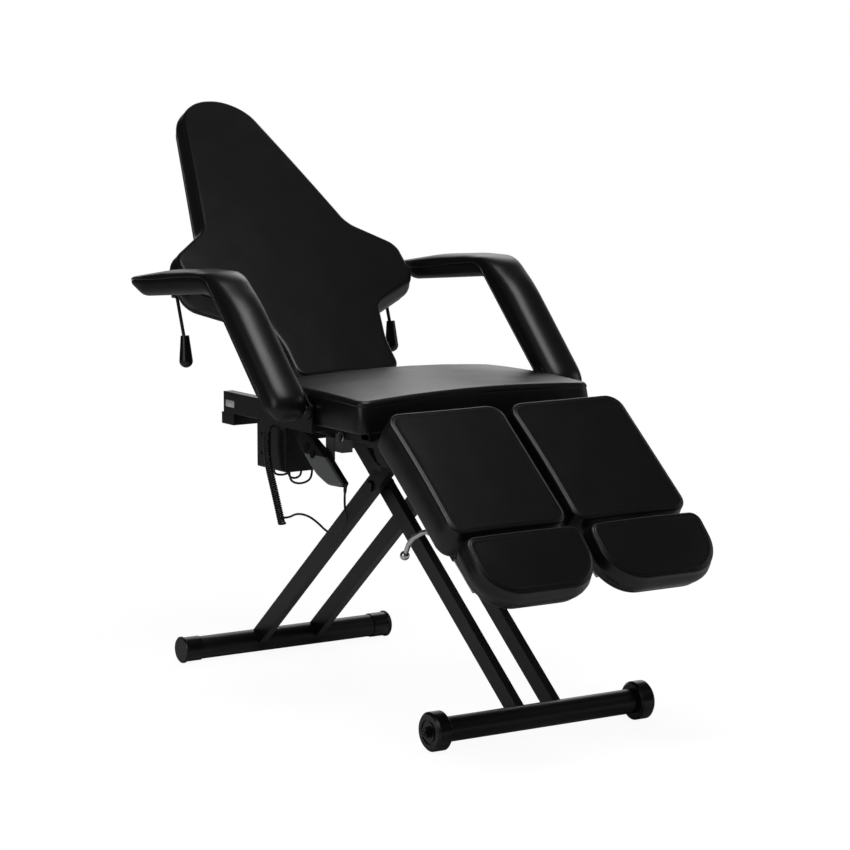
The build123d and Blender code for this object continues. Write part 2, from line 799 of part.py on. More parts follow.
def side_radius(length):
    """The radius of a long side that is drawn in by draw_in at its middle."""
    turn = 2 * math.atan(draw_in / (length / 2))
    return drawn_share * (length / 2) / math.tan(turn / 2)


def seat_board():
    face = make_face(FilletPolyline(*seat_outline(board_inset), radius=seat_radii(), close=True))
    return Pos(0, 0, bearer_top) * extrude(face, amount=board_plate)


def seat_radii():
    across = side_radius(2 * (seat_half - board_inset))
    along = side_radius(seat_rear_y - seat_front_y - 2 * board_inset)
    return [seat_corner, across, seat_corner, along, seat_corner, across, seat_corner, along]


def seat_cushion():
    """The seat's upholstery, over and round its board."""
    depth = seat_crown_z - bearer_top
    crown = seat_crown_z - bearer_top - depth / 2
    centre = (0, (seat_front_y + seat_rear_y) / 2)
    frame = Pos(0, 0, bearer_top + depth / 2)
    body, shoulder = pad_body(seat_outline(0), seat_radii(), depth / 2, seat_ball, crown, centre)
    return frame * fillet(shoulder, pad_round) - seat_board()


def face_frame(edge, angle, x):
    """A frame on a pad's face: its Y runs up the face, and its Z out of it at this angle from +Y."""
    normal = (0, math.cos(math.radians(angle)), math.sin(math.radians(angle)))
    return Plane(origin=(x, edge[0], edge[1]), x_dir=(1, 0, 0), z_dir=normal)


def back_outline(inset):
    half = [
        (back_half_bottom - inset, back_bottom + inset),
        (back_half_bottom - inset, back_waist / 2),
        (back_waist_half - inset, back_waist),
        (back_wing_half - inset, back_wing_low + inset),
        (back_wing_half - inset, back_wing_high - inset),
        (back_neck_half - inset, back_neck),
        (back_top_half - inset / 2, back_top - inset),
    ]
    return half + [(-x, v) for x, v in reversed(half)]


def back_radii():
    half = [back_corner, back_waist_blend, back_waist_corner, back_wing_corner, back_corner,
            back_neck_corner, back_head_corner]
    return half + half[::-1]


back_face = face_frame((back_foot_y, back_foot_z), back_line + 90, 0)


def back_board():
    face = make_face(FilletPolyline(*back_outline(board_inset), radius=back_radii(), close=True))
    return back_face * (Pos(0, 0, -back_thickness) * extrude(face, amount=board_plate))


def back_cushion():
    centre = (0, (back_bottom + back_top) / 2)
    body, shoulder = pad_body(back_outline(0), back_radii(), back_thickness, back_ball, back_crown, centre)
    return back_face * fillet(shoulder, pad_round) - back_board()


def back_bar(along, from_x, to_x, depth):
    """A square bar across the backrest, against its board."""
    middle = -back_thickness - back_tube / 2
    start = back_point(along - depth / 2, middle)
    end = back_point(along + depth / 2, middle)
    return bar(start, end, (from_x + to_x) / 2, to_x - from_x, back_tube)


def back_frame():
    """Two side tubes and three bars behind the board, with the gas spring's lugs and the lever's lugs."""
    middle = -back_thickness - back_tube / 2
    start = back_point(back_tube_low, middle)
    end = back_point(back_tube_top, middle)
    side = square_tube(start, end, -back_tube_x, back_tube, back_tube, [back_hinge])
    side -= rod(back_pin_radius + running_gap, -rail_inner, 0, back_hinge)
    inside = back_tube_x - back_tube / 2
    bars = [back_bar(along, -inside, inside, back_bar_depth)
            for along in (back_bar_low, back_bar_middle, back_tube_top - back_bar_depth)]
    low = back_bar_low - back_bar_depth / 2
    top = -back_thickness - lug_plate
    anchor_along = (spring_high[0] - back_foot_y) * math.cos(math.radians(back_line))
    anchor_along += (spring_high[1] - back_foot_z) * math.sin(math.radians(back_line))
    deep = -back_thickness - back_tube
    outline = [back_point(low, top), back_point(low, deep), back_point(anchor_along, deep),
               back_point(anchor_along, top)]
    lugs = []
    for turn in (-1, 1):
        near = spring_x + turn * (spring_radius + 2 * side_gap)
        far = near + turn * strap_plate
        lug = side_plate(outline, near, far) + rod(spring_eye, near, far, spring_high)
        lugs.append(lug - rod(spring_pin_radius, near, far, spring_high))
    reach = spring_radius + 2 * side_gap + strap_plate + screw_head
    pin = rod(spring_pin_radius, spring_x - reach, spring_x + reach, spring_high)
    release = (release_y, release_z)
    release_along = (release_y - back_foot_y) * math.cos(math.radians(back_line))
    release_along += (release_z - back_foot_z) * math.sin(math.radians(back_line))
    outline = [back_point(release_along - spring_eye, deep), back_point(release_along + spring_eye, deep),
               step(release, back_line, spring_eye), step(release, back_line, -spring_eye)]
    hanger = side_plate(outline, -back_tube_x, -back_tube_x + lug_plate)
    hanger += rod(spring_eye, -back_tube_x, -back_tube_x + lug_plate, release)
    hanger -= rod(release_radius + running_gap, -back_tube_x, -back_tube_x + lug_plate, release)
    return [*pair(side), *bars, *lugs, pin, *pair(hanger)]


def gas_spring_cylinder():
    """The gas spring's cylinder, hung on its lower pin."""
    line = angle_of(spring_low, spring_high)
    start = step(spring_low, line, spring_pin_radius)
    end = step(spring_low, line, spring_body)
    body = round_bar(start, end, spring_x, spring_radius)
    body += rod(spring_eye, spring_x - spring_radius, spring_x + spring_radius, spring_low)
    bore_from = step(spring_low, line, 2 * spring_eye)
    body -= round_bar(bore_from, step(end, line, over), spring_x, spring_rod_radius + side_gap)
    return body - rod(spring_pin_radius + running_gap, spring_x - over, spring_x + over, spring_low)


def gas_spring_rod():
    """The polished rod of the gas spring, with its upper eye."""
    line = angle_of(spring_high, spring_low)
    body = round_bar(spring_high, step(spring_high, line, spring_rod), spring_x, spring_rod_radius)
    body += rod(spring_eye, spring_x - spring_radius, spring_x + spring_radius, spring_high)
    return body - rod(spring_pin_radius + running_gap, spring_x - over, spring_x + over, spring_high)


def release_path():
    """The release rod's line: up out of one grip, across behind the backrest and down into the other."""
    grip = (grip_top_y, grip_top_z)
    inside = step(grip, angle_of(grip, (grip_bottom_y, grip_bottom_z)), 2 * grip_top_radius)
    corners = [inside, (release_bend_y, release_bend_z), (release_y, release_z)]
    left = [(-release_half, y, z) for y, z in corners]
    right = [(release_half, y, z) for y, z in corners[::-1]]
    return FilletPolyline(*left, *right, radius=release_bend)


def release_rod():
    path = release_path()
    section = Plane(origin=path @ 0, z_dir=path % 0) * Circle(release_radius)
    return sweep(section, path=path)


def release_grip():
    """A drop-shaped plastic grip, pushed over the end of the rod."""
    top = (grip_top_y, grip_top_z)
    low = (grip_bottom_y, grip_bottom_z)
    line = angle_of(low, top)
    ball = step(low, line, grip_low_radius)
    neck = step(ball, line, math.dist(ball, top) / 2)
    height = math.dist(ball, top)
    cone = Cone(grip_low_radius, grip_top_radius, height)
    body = Pos(-release_half, neck[0], neck[1]) * Rot(line - 90, 0, 0) * cone
    body += Pos(-release_half, ball[0], ball[1]) * Sphere(grip_low_radius)
    path = release_path()
    section = Plane(origin=path @ 0, z_dir=path % 0) * Circle(release_radius)
    return body - sweep(section, path=path)


# Leg rests: the left one is drawn and the right one is its twin
leg_face = face_frame((leg_edge_y, leg_edge_z), 90 + leg_tilt_angle, -leg_centre)


def leg_outline(inset):
    half = leg_half - inset
    low = -leg_pad_length + inset
    middle = -leg_pad_length / 2
    return [(-half, -inset), (0, -inset - draw_in), (half, -inset), (half - draw_in, middle),
            (half, low), (0, low + draw_in), (-half, low), (-half + draw_in, middle)]


def leg_radii():
    across = side_radius(2 * (leg_half - board_inset)) * (1 - leg_pad_corner / leg_half)
    along = side_radius(leg_pad_length - 2 * board_inset) * (1 - leg_pad_corner / leg_half)
    return [leg_pad_corner, across, leg_pad_corner, along, leg_pad_corner, across, leg_pad_corner, along]


def leg_board():
    face = make_face(FilletPolyline(*leg_outline(board_inset), radius=leg_radii(), close=True))
    return leg_face * (Pos(0, 0, -leg_pad_thickness) * extrude(face, amount=board_plate))


def leg_cushion():
    centre = (0, -leg_pad_length / 2)
    body, shoulder = pad_body(leg_outline(0), leg_radii(), leg_pad_thickness, leg_ball, pad_crown, centre)
    return leg_face * chamfer(shoulder, pad_bevel) - leg_board()


guide_line = -leg_pad_thickness - strap_plate - guide_radius - running_gap
rod_xs = (-leg_centre + slide_spread, -leg_centre - slide_spread)
pawl_pivot = step(leg_hinge, pawl_angle, pawl_reach)
clamp_point = leg_point(clamp_along, guide_line)


def leg_frame():
    """The steel frame of a leg rest: hinge tube, two arms, two straps and the guides of the foot rods."""
    tube_from = -leg_bar_inner + arm_bar_width / 2
    spine = rod(hinge_tube_radius, carrier_from, tube_from, leg_hinge)
    middle = -leg_pad_thickness - strap_plate - arm_bar_height / 2
    for x in (-leg_bar_inner, -leg_bar_outer):
        start = leg_point(leg_hinge_along, middle)
        end = leg_point(guide_to, middle)
        hollow_from = leg_point(leg_hinge_along + 2 * hinge_tube_radius, middle)
        arm = bar(start, end, x, arm_bar_width, arm_bar_height)
        arm -= bar(hollow_from, end, x, arm_bar_width - 2 * tube_wall, arm_bar_height - 2 * tube_wall)
        spine += arm
    carrier_to = carrier_from + strap_plate
    spine += bar(leg_hinge, pawl_pivot, (carrier_from + carrier_to) / 2, strap_plate, 2 * pawl_boss_radius)
    spine += rod(pawl_boss_radius, carrier_from, carrier_to, pawl_pivot)
    spine += rod(pawl_pin_radius, -sector_x, carrier_to, pawl_pivot)
    spine -= rod(hinge_rod_radius + running_gap, -2 * sector_x, 0, leg_hinge)
    straps = []
    level = -leg_pad_thickness - strap_plate / 2
    for along in (guide_from + strap_width, guide_to - strap_width / 2):
        start = leg_point(along - strap_width / 2, level)
        end = leg_point(along + strap_width / 2, level)
        width = 2 * (slide_spread + strap_margin)
        straps.append(bar(start, end, -leg_centre, width, strap_plate))
    guides = []
    for x in rod_xs:
        start = leg_point(guide_from, guide_line)
        guide = round_bar(start, leg_point(guide_to, guide_line), x, guide_radius)
        if x == min(rod_xs):
            guide += rod(clamp_boss_radius, x - guide_radius - strap_plate, x, clamp_point)
            guide -= rod(clamp_shaft_radius + running_gap, x - over, x, clamp_point)
        start = leg_point(guide_from - over, guide_line)
        end = leg_point(guide_to + over, guide_line)
        guides.append(guide - round_bar(start, end, x, slide_rod_radius + running_gap))
    return [spine, *straps, *guides]


def leg_pawl():
    """The small sprung pawl that holds the leg rest by the teeth of its lug."""
    x_from = -sector_x
    x_to = -sector_x + lug_plate - screw_head
    tip = step(leg_hinge, pawl_angle + pawl_lead_angle, sector_radius + side_gap)
    heel = step(leg_hinge, pawl_angle + pawl_lead_angle, pawl_reach)
    top = step(pawl_pivot, angle_of(pawl_pivot, leg_hinge), pawl_boss_radius * pawl_neck_share)
    low = step(pawl_pivot, angle_of(leg_hinge, pawl_pivot), pawl_boss_radius * pawl_tail_share)
    body = side_plate([tip, heel, low, top], x_from, x_to) + rod(pawl_boss_radius, x_from, x_to, pawl_pivot)
    return body - rod(pawl_pin_radius + running_gap, x_from - over, x_to + over, pawl_pivot)


def clamp_lever():
    """The chromed lever that clamps the foot rods: a screw, a bent arm and a ball."""
    shaft_to = min(rod_xs) - slide_rod_radius - side_gap
    hub_to = min(rod_xs) - guide_radius - strap_plate - side_gap
    body = rod(clamp_shaft_radius, hub_to, shaft_to, clamp_point)
    body += rod(clamp_boss_radius, hub_to - clamp_hub, hub_to, clamp_point)
    x = hub_to - clamp_hub / 2
    points = [(x, *clamp_point)]
    for along, out in clamp_bend_shares:
        y, z = leg_point(clamp_along + along * clamp_reach, guide_line + out * clamp_reach)
        points.append((x, y, z))
    path = FilletPolyline(*points, radius=[clamp_reach * share for share in clamp_turn_shares])
    section = Plane(origin=path @ 0, z_dir=path % 0) * Circle(clamp_arm_radius)
    return body + sweep(section, path=path) + Pos(*points[-1]) * Sphere(clamp_ball_radius)


# Foot pads
foot_edge = leg_point(leg_pad_length + foot_gap, foot_rise)
foot_face = face_frame(foot_edge, 90 + foot_tilt_angle, -leg_centre)


def foot_point(along, out):
    """The (y, z) point this far down a foot pad's face and this far out of it."""
    return step(step(foot_edge, 180 + foot_tilt_angle, along), 90 + foot_tilt_angle, out)


def foot_cushion():
    """The upholstered foot pad: straight at the leg rest, with wide round corners in front."""
    outline = [(-foot_half, 0), (foot_half, 0), (foot_half, -foot_depth), (-foot_half, -foot_depth)]
    radii = [foot_rear_corner, foot_rear_corner, foot_front_corner, foot_front_corner]
    centre = (0, -foot_depth / 2)
    body, shoulder = pad_body(outline, radii, foot_thickness, foot_ball, pad_crown, centre)
    return foot_face * chamfer(shoulder, pad_bevel)


def foot_frame():
    """Two chromed rods with a cross bar and two wedge plates under the foot pad."""
    bodies = []
    for x in rod_xs:
        start = leg_point(foot_rod_from, guide_line)
        body = round_bar(start, leg_point(foot_rod_to, guide_line), x, slide_rod_radius)
        outline = [leg_point(foot_plate_from, guide_line), leg_point(foot_rod_to, guide_line),
                   foot_point(foot_plate_rise, -foot_thickness), foot_point(lug_plate, -foot_thickness)]
        body += side_plate(outline, x - strap_plate / 2, x + strap_plate / 2)
        bodies.append(body)
    across_from = leg_point(foot_plate_from + bolt_head, guide_line)
    across_to = leg_point(foot_plate_from + bolt_head + 2 * slide_rod_radius, guide_line)
    width = 2 * slide_spread
    bodies[0] += bar(across_from, across_to, -leg_centre, width, 2 * slide_rod_radius)
    return bodies[0] + bodies[1]


# Armrests: a bent core with upholstery over it
def arm_points(shares):
    """The (y, z) points of an outline given in shares of the armrest's length and height."""
    return [(arm_pivot_y + along * arm_length, arm_pivot_z + up * arm_height) for along, up in shares]


def arm_radii(shares):
    return [share * arm_length for share in shares]


def arm_plan():
    """The armrest's shape seen from above: straight sides and a tapered, rounded tip."""
    half = arm_width / 2
    front = arm_pivot_y - 2 * arm_foot_radius
    outline = [(-half, front), (half, front), (half, arm_tip_y - arm_taper), (arm_tip_half, arm_tip_y),
               (-arm_tip_half, arm_tip_y), (-half, arm_tip_y - arm_taper)]
    radii = [soft_gap, soft_gap, arm_width, arm_tip_half / 2, arm_tip_half / 2, arm_width]
    wire = FilletPolyline(*outline, radius=radii, close=True)
    return Pos(-arm_centre, 0, arm_pivot_z - arm_foot_radius) * extrude(make_face(wire), amount=arm_tip_y)


def arm_cushion():
    """The upholstery of one armrest, down over its foot, with a pocket for the head of the pivot bolt."""
    outline = arm_points(arm_top_shares + arm_seam_shares)
    radii = [*arm_radii(arm_top_radius_shares), soft_gap, *arm_radii(arm_seam_radius_shares), soft_gap]
    body = rounded_side_plate(outline, radii, -arm_inner - arm_width, -arm_inner)
    body = body & arm_plan()
    return body - rod(bush_radius, -arm_inner, -arm_inner - 2 * bolt_head, arm_pivot)


def arm_core():
    """The plastic core of one armrest, with the steel tang that its bolt goes through."""
    outline = arm_points(arm_seam_shares + arm_under_shares)
    under_radii = [soft_gap, *arm_radii(arm_under_radius_shares), soft_gap]
    radii = [soft_gap, *arm_radii(arm_seam_radius_shares), soft_gap, *under_radii]
    body = rounded_side_plate(outline, radii, -arm_inner - arm_width, -arm_inner)
    seam = arm_points(arm_seam_shares)
    tang_end = step(arm_pivot, angle_of(seam[-1], seam[-2]), arm_tang_length)
    middle = -arm_inner + arm_tang / 2
    steel = bar(arm_pivot, tang_end, middle, arm_tang, 2 * arm_foot_radius)
    steel += rod(arm_foot_radius, -arm_inner, -arm_tang_x, arm_pivot)
    body = (body & arm_plan()) + steel
    return body - rod(back_pin_radius + running_gap, -arm_inner, -arm_tang_x, arm_pivot)


# Control box
def control_box():
    """The housing of the lift's control, hung under the left rail."""
    body = block(box_outer, box_inner, box_front_y + cover_depth, box_rear_y, box_bottom, rail_bottom)
    return fillet(body.edges().filter_by(Axis.Y), box_edge)


def control_box_cover():
    body = block(box_outer, box_inner, box_front_y, box_front_y + cover_depth, box_bottom, rail_bottom)
    body = fillet(body.edges().filter_by(Axis.Y), box_edge)
    return fillet(body.faces().sort_by(Axis.Y)[0].edges(), box_edge / 2)


def control_box_screws():
    """Round-headed screws in the front of the cover and the side of the housing."""
    heads = []
    for x in (box_outer + lid_screw_side, box_inner - lid_screw_side):
        for z in (box_bottom + lid_screw_end, rail_bottom - lid_screw_end):
            place = Pos(x, box_front_y - screw_head / 2, z) * Rot(90, 0, 0)
            heads.append(place * Cylinder(screw_radius, screw_head))
    for z in (box_bottom + side_screw_end, rail_bottom - side_screw_end):
        point = (box_rear_y - side_screw_back, z)
        heads.append(rod(screw_radius, box_outer - screw_head, box_outer, point))
    return heads


def control_cable(depth_share, from_share, to_share, sag_share):
    """A cable that hangs in a loop below the control box, with both ends in its bottom."""
    y = box_front_y + depth_share * (box_rear_y - box_front_y)
    x_from = box_outer + from_share * (box_inner - box_outer)
    x_to = box_outer + to_share * (box_inner - box_outer)
    low = box_bottom - sag_share * cable_sag
    corners = [(x_from, y, box_bottom), (x_from, y, low), (x_to, y, low), (x_to, y, box_bottom)]
    path = FilletPolyline(*corners, radius=min(cable_turn, sag_share * cable_sag * cable_curve_share))
    section = Plane(origin=path @ 0, z_dir=path % 0) * RegularPolygon(cable_radius, wire_sides)
    return sweep(section, path=path)


# Curly cord between the control box and the handset's lead


def round_route(points):
    """A route of straight runs with the widest even bend at each corner."""
    radii = []
    for before, corner, after in zip(points, points[1:], points[2:]):
        near = Vector(corner) - Vector(before)
        far = Vector(after) - Vector(corner)
        turn = math.radians(near.get_angle(far))
        radii.append(turn_share * min(near.length, far.length) / math.tan(turn / 2))
    return FilletPolyline(*points, radius=radii), radii


def round_tube(points, radius):
    """A round tube along a route, and what its bends measure."""
    path, radii = round_route([Vector(point) for point in points])
    section = Plane(origin=path @ 0, z_dir=path % 0) * Circle(radius)
    tube = sweep(section, path=path)
    expected = math.pi * radius ** 2 * path.length
    print("tube of radius", radius, "bends", [round(bend) for bend in radii], "length", round(path.length),
          "volume share", round(tube.volume / expected, 3))
    return tube


def curly_cord():
    """The curled stretch, at the outer size of its curls, with the wire that comes out of the box."""
    return round_tube(curl_route, curl_radius) + round_tube(outlet_route, wire_radius)


def handset_lead():
    """The smooth lead from the lower end of the curls to the handset."""
    return round_tube(lead_route, wire_radius) - round_tube(curl_route, curl_radius)


# Handset, hung on its hook under the left rail
def handset_frame():
    """A frame in the handset: its X runs to the cord, and its Z out of the front."""
    slope = math.radians(handset_slope_angle)
    roll = math.radians(handset_roll_angle)
    long_way = (0, -math.cos(slope), -math.sin(slope))
    front = (-math.cos(roll), -math.sin(roll) * math.sin(slope), math.sin(roll) * math.cos(slope))
    return Plane(origin=(handset_x, handset_y, handset_z), x_dir=long_way, z_dir=front)


def handset_shell(low, high):
    outline = [(along * handset_length, across * handset_width) for along, across in handset_outline_shares]
    radii = [share * handset_length for share in handset_radius_shares]
    wire = FilletPolyline(*outline, radius=radii, close=True)
    return Pos(0, 0, low) * extrude(make_face(wire), amount=high - low)


def button_place(share):
    return Pos(share[0] * handset_length, share[1] * handset_width, 0)


def handset_front():
    """The front shell with an opening for each button."""
    body = handset_shell(handset_split, handset_half)
    body = fillet(body.faces().sort_by(Axis.Z)[-1].edges(), box_edge)
    for share in button_shares:
        body -= button_place(share) * Cylinder(button_half + button_gap, over)
    return handset_frame() * body


def handset_back():
    """The back shell with the tapered sleeve that the lead comes out of."""
    body = handset_shell(-handset_half, handset_split)
    body = fillet(body.faces().sort_by(Axis.Z)[0].edges(), box_edge)
    body = handset_frame() * body
    end = Vector(lead_route[-1])
    direction = (end - Vector(lead_route[-2])).normalized()
    ends = (wire_radius + screw_head, relief_radius)
    sleeve = Cone(*ends, relief_length, align=(Align.CENTER, Align.CENTER, Align.MIN))
    sleeve = Plane(origin=end, z_dir=direction) * sleeve
    return body + sleeve


def handset_button(share):
    base = handset_split + (handset_half - handset_split) / 2
    top = handset_half + button_rise
    body = button_place(share) * Pos(0, 0, (base + top) / 2) * Cylinder(button_half, top - base)
    return handset_frame() * body


def hook_ring():
    """The split ring beside the hook."""
    section = Plane.XZ * (Pos(ring_radius, 0) * RegularPolygon(ring_wire, wire_sides))
    ring = revolve(section, axis=Axis.Z)
    return Pos(hook_outer - ring_lug / 2, ring_y, ring_z) * Rot(0, 90, 0) * ring


def handset_hook():
    """The bracket under the rail, with its tongue, the pin behind the handset and the lug of the ring."""
    inner = -rail_inner - screw_head
    body = block(hook_outer, inner, hook_front, hook_rear, hook_low, rail_bottom)
    middle = (hook_front + hook_rear) / 2
    side = hook_outer - ring_lug
    tongue = block(side, hook_outer, middle, hook_rear, hook_tongue, rail_bottom)
    pin = rod(hook_pin_radius, hook_outer - ring_lug, handset_x, (hook_pin_y, hook_pin_z))
    lug_y = ring_y + ring_radius
    low = ring_z - 2 * ring_lug
    lug = block(side, hook_outer, lug_y - ring_lug, lug_y + ring_lug, low, ring_z + ring_lug)
    return body + tongue + (pin - handset_back()) + (lug - hook_ring())


def build():
    rear_plugs = pair(rail_plug(rail_rear_y, -1))
    front_plugs = pair(rail_plug(rail_front_y, 1))
    left_ratchet = [leg_lug(inner_lug_x, bolt_head_radius), ratchet_lug()]
    save("seat_rails", pair(rail()))
    save("rail_end_plugs", rear_plugs, front_plugs)
    save("cross_tubes", rear_cross_tube(), middle_cross_tube())
    bearers = [seat_bearer(front_bearer_y, front_bearer_half), seat_bearer(arm_bearer_y, arm_plate_x)]
    bearers.append(seat_bearer(back_bearer_y, arm_plate_x))
    save("seat_bearers", bearers, pair(arm_bracket()))
    save("lift_tracks", pair(lift_track()))
    save("frame_bolts", pair(lift_bolt()), pair(back_pin()), pair(arm_bolt()), spring_pin())
    save("lift_actuator", lift_actuator())
    save("control_box", control_box())
    save("control_box_cover", control_box_cover())
    save("control_box_screws", control_box_screws())
    save("control_cables", [control_cable(*shares) for shares in cable_shares])
    save("curly_cord", curly_cord())
    save("handset_lead", handset_lead())
    save("handset_back", handset_back())
    save("handset_front", handset_front())
    save("handset_hook", handset_hook())
    save("hook_ring", hook_ring())
    save("handset_button_up", handset_button(button_shares[0]))
    save("handset_button_down", handset_button(button_shares[1]))
    save("seat_board", seat_board())
    save("seat_cushion", seat_cushion())
    lugs = [piece for shape in left_ratchet for piece in pair(shape)]
    save("frame_lugs", pair(back_lug()), spring_lugs(), lugs)
    save("leg_hinge_rods", pair(leg_hinge_rod()))
    outer_leg = scissor_leg(rear_bar, lift_pivot, -outer_leg_x)
    inner_leg = scissor_leg(front_bar, crosshead, -inner_leg_x)
    save("rear_legs", pair(outer_leg))
    save("rear_floor_tube", rear_floor_tube())
    save("rear_end_caps", pair(rear_end_cap()))
    save("crossing_bolts", pair(crossing_bolt()))
    save("front_legs", pair(inner_leg))
    save("front_floor_tube", front_floor_tube())
    save("roller_bolts", pair(roller_bolt()))
    save("crosshead_axle", crosshead_axle())
    save("slide_blocks", pair(slide_block()))
    save("actuator_rod", actuator_rod())
    for name, shape in zip(("roller_left", "roller_right"), pair(roller())):
        save(name, shape)
    save("back_frame", back_frame())
    save("back_board", back_board())
    save("back_cushion", back_cushion())
    save("gas_spring_cylinder", gas_spring_cylinder())
    save("gas_spring_rod", gas_spring_rod())
    save("release_rod", release_rod())
    save("release_grips", pair(release_grip()))
    sides = {
        "arm_core": [arm_core()],
        "arm_cushion": [arm_cushion()],
        "leg_frame": leg_frame(),
        "leg_board": [leg_board()],
        "leg_cushion": [leg_cushion()],
        "clamp_lever": [clamp_lever()],
        "foot_frame": [foot_frame()],
        "foot_cushion": [foot_cushion()],
        "leg_pawl": [leg_pawl()],
    }
    for name, shapes in sides.items():
        save(f"{name}_left", shapes)
        save(f"{name}_right", [mirror(shape, about=Plane.YZ) for shape in shapes])


build()
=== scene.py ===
import json
import math

import bmesh
import bpy
from mathutils import Matrix, Vector, noise


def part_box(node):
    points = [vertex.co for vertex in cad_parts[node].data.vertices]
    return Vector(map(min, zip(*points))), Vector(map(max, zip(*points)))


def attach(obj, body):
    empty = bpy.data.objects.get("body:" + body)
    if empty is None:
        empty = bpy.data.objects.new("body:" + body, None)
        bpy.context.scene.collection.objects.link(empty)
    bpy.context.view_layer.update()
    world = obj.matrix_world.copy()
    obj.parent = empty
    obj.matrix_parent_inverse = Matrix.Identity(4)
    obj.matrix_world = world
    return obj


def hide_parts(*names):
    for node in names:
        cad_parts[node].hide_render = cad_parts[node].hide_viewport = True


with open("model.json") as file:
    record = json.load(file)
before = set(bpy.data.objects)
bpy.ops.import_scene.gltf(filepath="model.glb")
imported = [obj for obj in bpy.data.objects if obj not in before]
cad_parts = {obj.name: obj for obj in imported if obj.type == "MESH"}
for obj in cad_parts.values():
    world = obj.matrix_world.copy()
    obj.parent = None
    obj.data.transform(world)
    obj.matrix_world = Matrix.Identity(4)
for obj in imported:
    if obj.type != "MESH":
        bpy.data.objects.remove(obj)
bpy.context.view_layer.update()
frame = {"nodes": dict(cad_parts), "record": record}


# The view: a long lens a little above seat height, in front of the chair's right corner.
# The picture is square, and the lens keeps the sides of the chair nearly parallel.
picture_side = 850
focal_pixels = 3265.13
sensor_width = 36.0
view_heading = -33.485
view_drop = 8.102
view_place = Vector((-3.98438, -6.16991, 1.64727))

lens = bpy.data.cameras.new("view")
lens.sensor_fit = "HORIZONTAL"
lens.sensor_width = sensor_width
lens.lens = focal_pixels * sensor_width / picture_side
lens.clip_end = 60
camera = bpy.data.objects.new("view", lens)
camera.location = view_place
camera.rotation_euler = (math.radians(90 - view_drop), 0, math.radians(view_heading))
bpy.context.scene.collection.objects.link(camera)
bpy.context.scene.camera = camera


# Floor and light: a pale seamless paper floor under large soft boxes, as in a product studio.
# The paper shows white to the camera and keeps the shadow of the chair.
paper_colour = "#f2f2f2"
paper_half = 14.0
paper_glow = 1.2
shadow_near = 0.9
shadow_far = 2.2
shadow_white = 0.78
room_dimness = 0.04


def linear(colour):
    """The linear red, green, blue and alpha of an sRGB hex colour."""
    parts = [int(colour[i:i + 2], 16) / 255 for i in (1, 3, 5)]
    return [c / 12.92 if c <= 0.04045 else ((c + 0.055) / 1.055) ** 2.4 for c in parts] + [1]


def add_node(material, kind, settings=None, numbered=(), **named):
    """Adds a node. settings are its own options, and named its sockets by name, with _ for a space.

    numbered is a list of sockets by number, for a node that has several of one name."""
    node = material.node_tree.nodes.new(kind)
    for name, value in (settings or {}).items():
        setattr(node, name, value)
    sockets = [(node.inputs[number], value) for number, value in numbered]
    sockets += [(node.inputs[name.replace("_", " ")], value) for name, value in named.items()]
    for socket, value in sockets:
        if isinstance(value, bpy.types.NodeSocket):
            material.node_tree.links.new(value, socket)
        else:
            socket.default_value = value
    return node


def new_material(name):
    """An empty material, and the place of each point on the piece, for its patterns."""
    material = bpy.data.materials.new(name)
    material.use_nodes = True
    material.node_tree.nodes.clear()
    return material, add_node(material, "ShaderNodeTexCoord").outputs["Object"]


floor_mesh = bpy.data.meshes.new("paper_floor")
sheet = bmesh.new()
bmesh.ops.create_grid(sheet, x_segments=1, y_segments=1, size=paper_half)
sheet.to_mesh(floor_mesh)
sheet.free()
floor = bpy.data.objects.new("paper_floor", floor_mesh)
bpy.context.scene.collection.objects.link(floor)

# matt white paper: part of what the camera sees of it is plain white, and all of it further out
paper, place = new_material("seamless_paper")
seen = add_node(paper, "ShaderNodeLightPath").outputs["Is Camera Ray"]
distance = add_node(paper, "ShaderNodeVectorMath", {"operation": "LENGTH"}, [(0, place)]).outputs["Value"]
white_share = add_node(paper, "ShaderNodeMapRange", Value=distance, From_Min=shadow_near, From_Max=shadow_far,
                       To_Min=shadow_white, To_Max=1.0)
glow_there = add_node(paper, "ShaderNodeMapRange", Value=distance, From_Min=shadow_near, From_Max=shadow_far,
                      To_Min=paper_glow, To_Max=1.0)
seen_share = add_node(paper, "ShaderNodeMath", {"operation": "MULTIPLY"},
                      [(0, seen), (1, white_share.outputs["Result"])])
matt = add_node(paper, "ShaderNodeBsdfDiffuse", Color=linear(paper_colour))
glow = add_node(paper, "ShaderNodeEmission", Color=(1, 1, 1, 1), Strength=glow_there.outputs["Result"])
blend = add_node(paper, "ShaderNodeMixShader", None, [(1, matt.outputs[0]), (2, glow.outputs[0])],
                 Fac=seen_share.outputs[0])
add_node(paper, "ShaderNodeOutputMaterial", Surface=blend.outputs[0])
floor_mesh.materials.append(paper)

room = bpy.data.worlds.new("studio")
bpy.context.scene.world = room
room.use_nodes = True
room.node_tree.nodes.clear()
seen = add_node(room, "ShaderNodeLightPath").outputs["Is Camera Ray"]
dim = add_node(room, "ShaderNodeBackground", Color=(1, 1, 1, 1), Strength=room_dimness)
white = add_node(room, "ShaderNodeBackground", Color=(1, 1, 1, 1), Strength=1.0)
walls = add_node(room, "ShaderNodeMixShader", None, [(1, dim.outputs[0]), (2, white.outputs[0])], Fac=seen)
add_node(room, "ShaderNodeOutputWorld", Surface=walls.outputs[0])

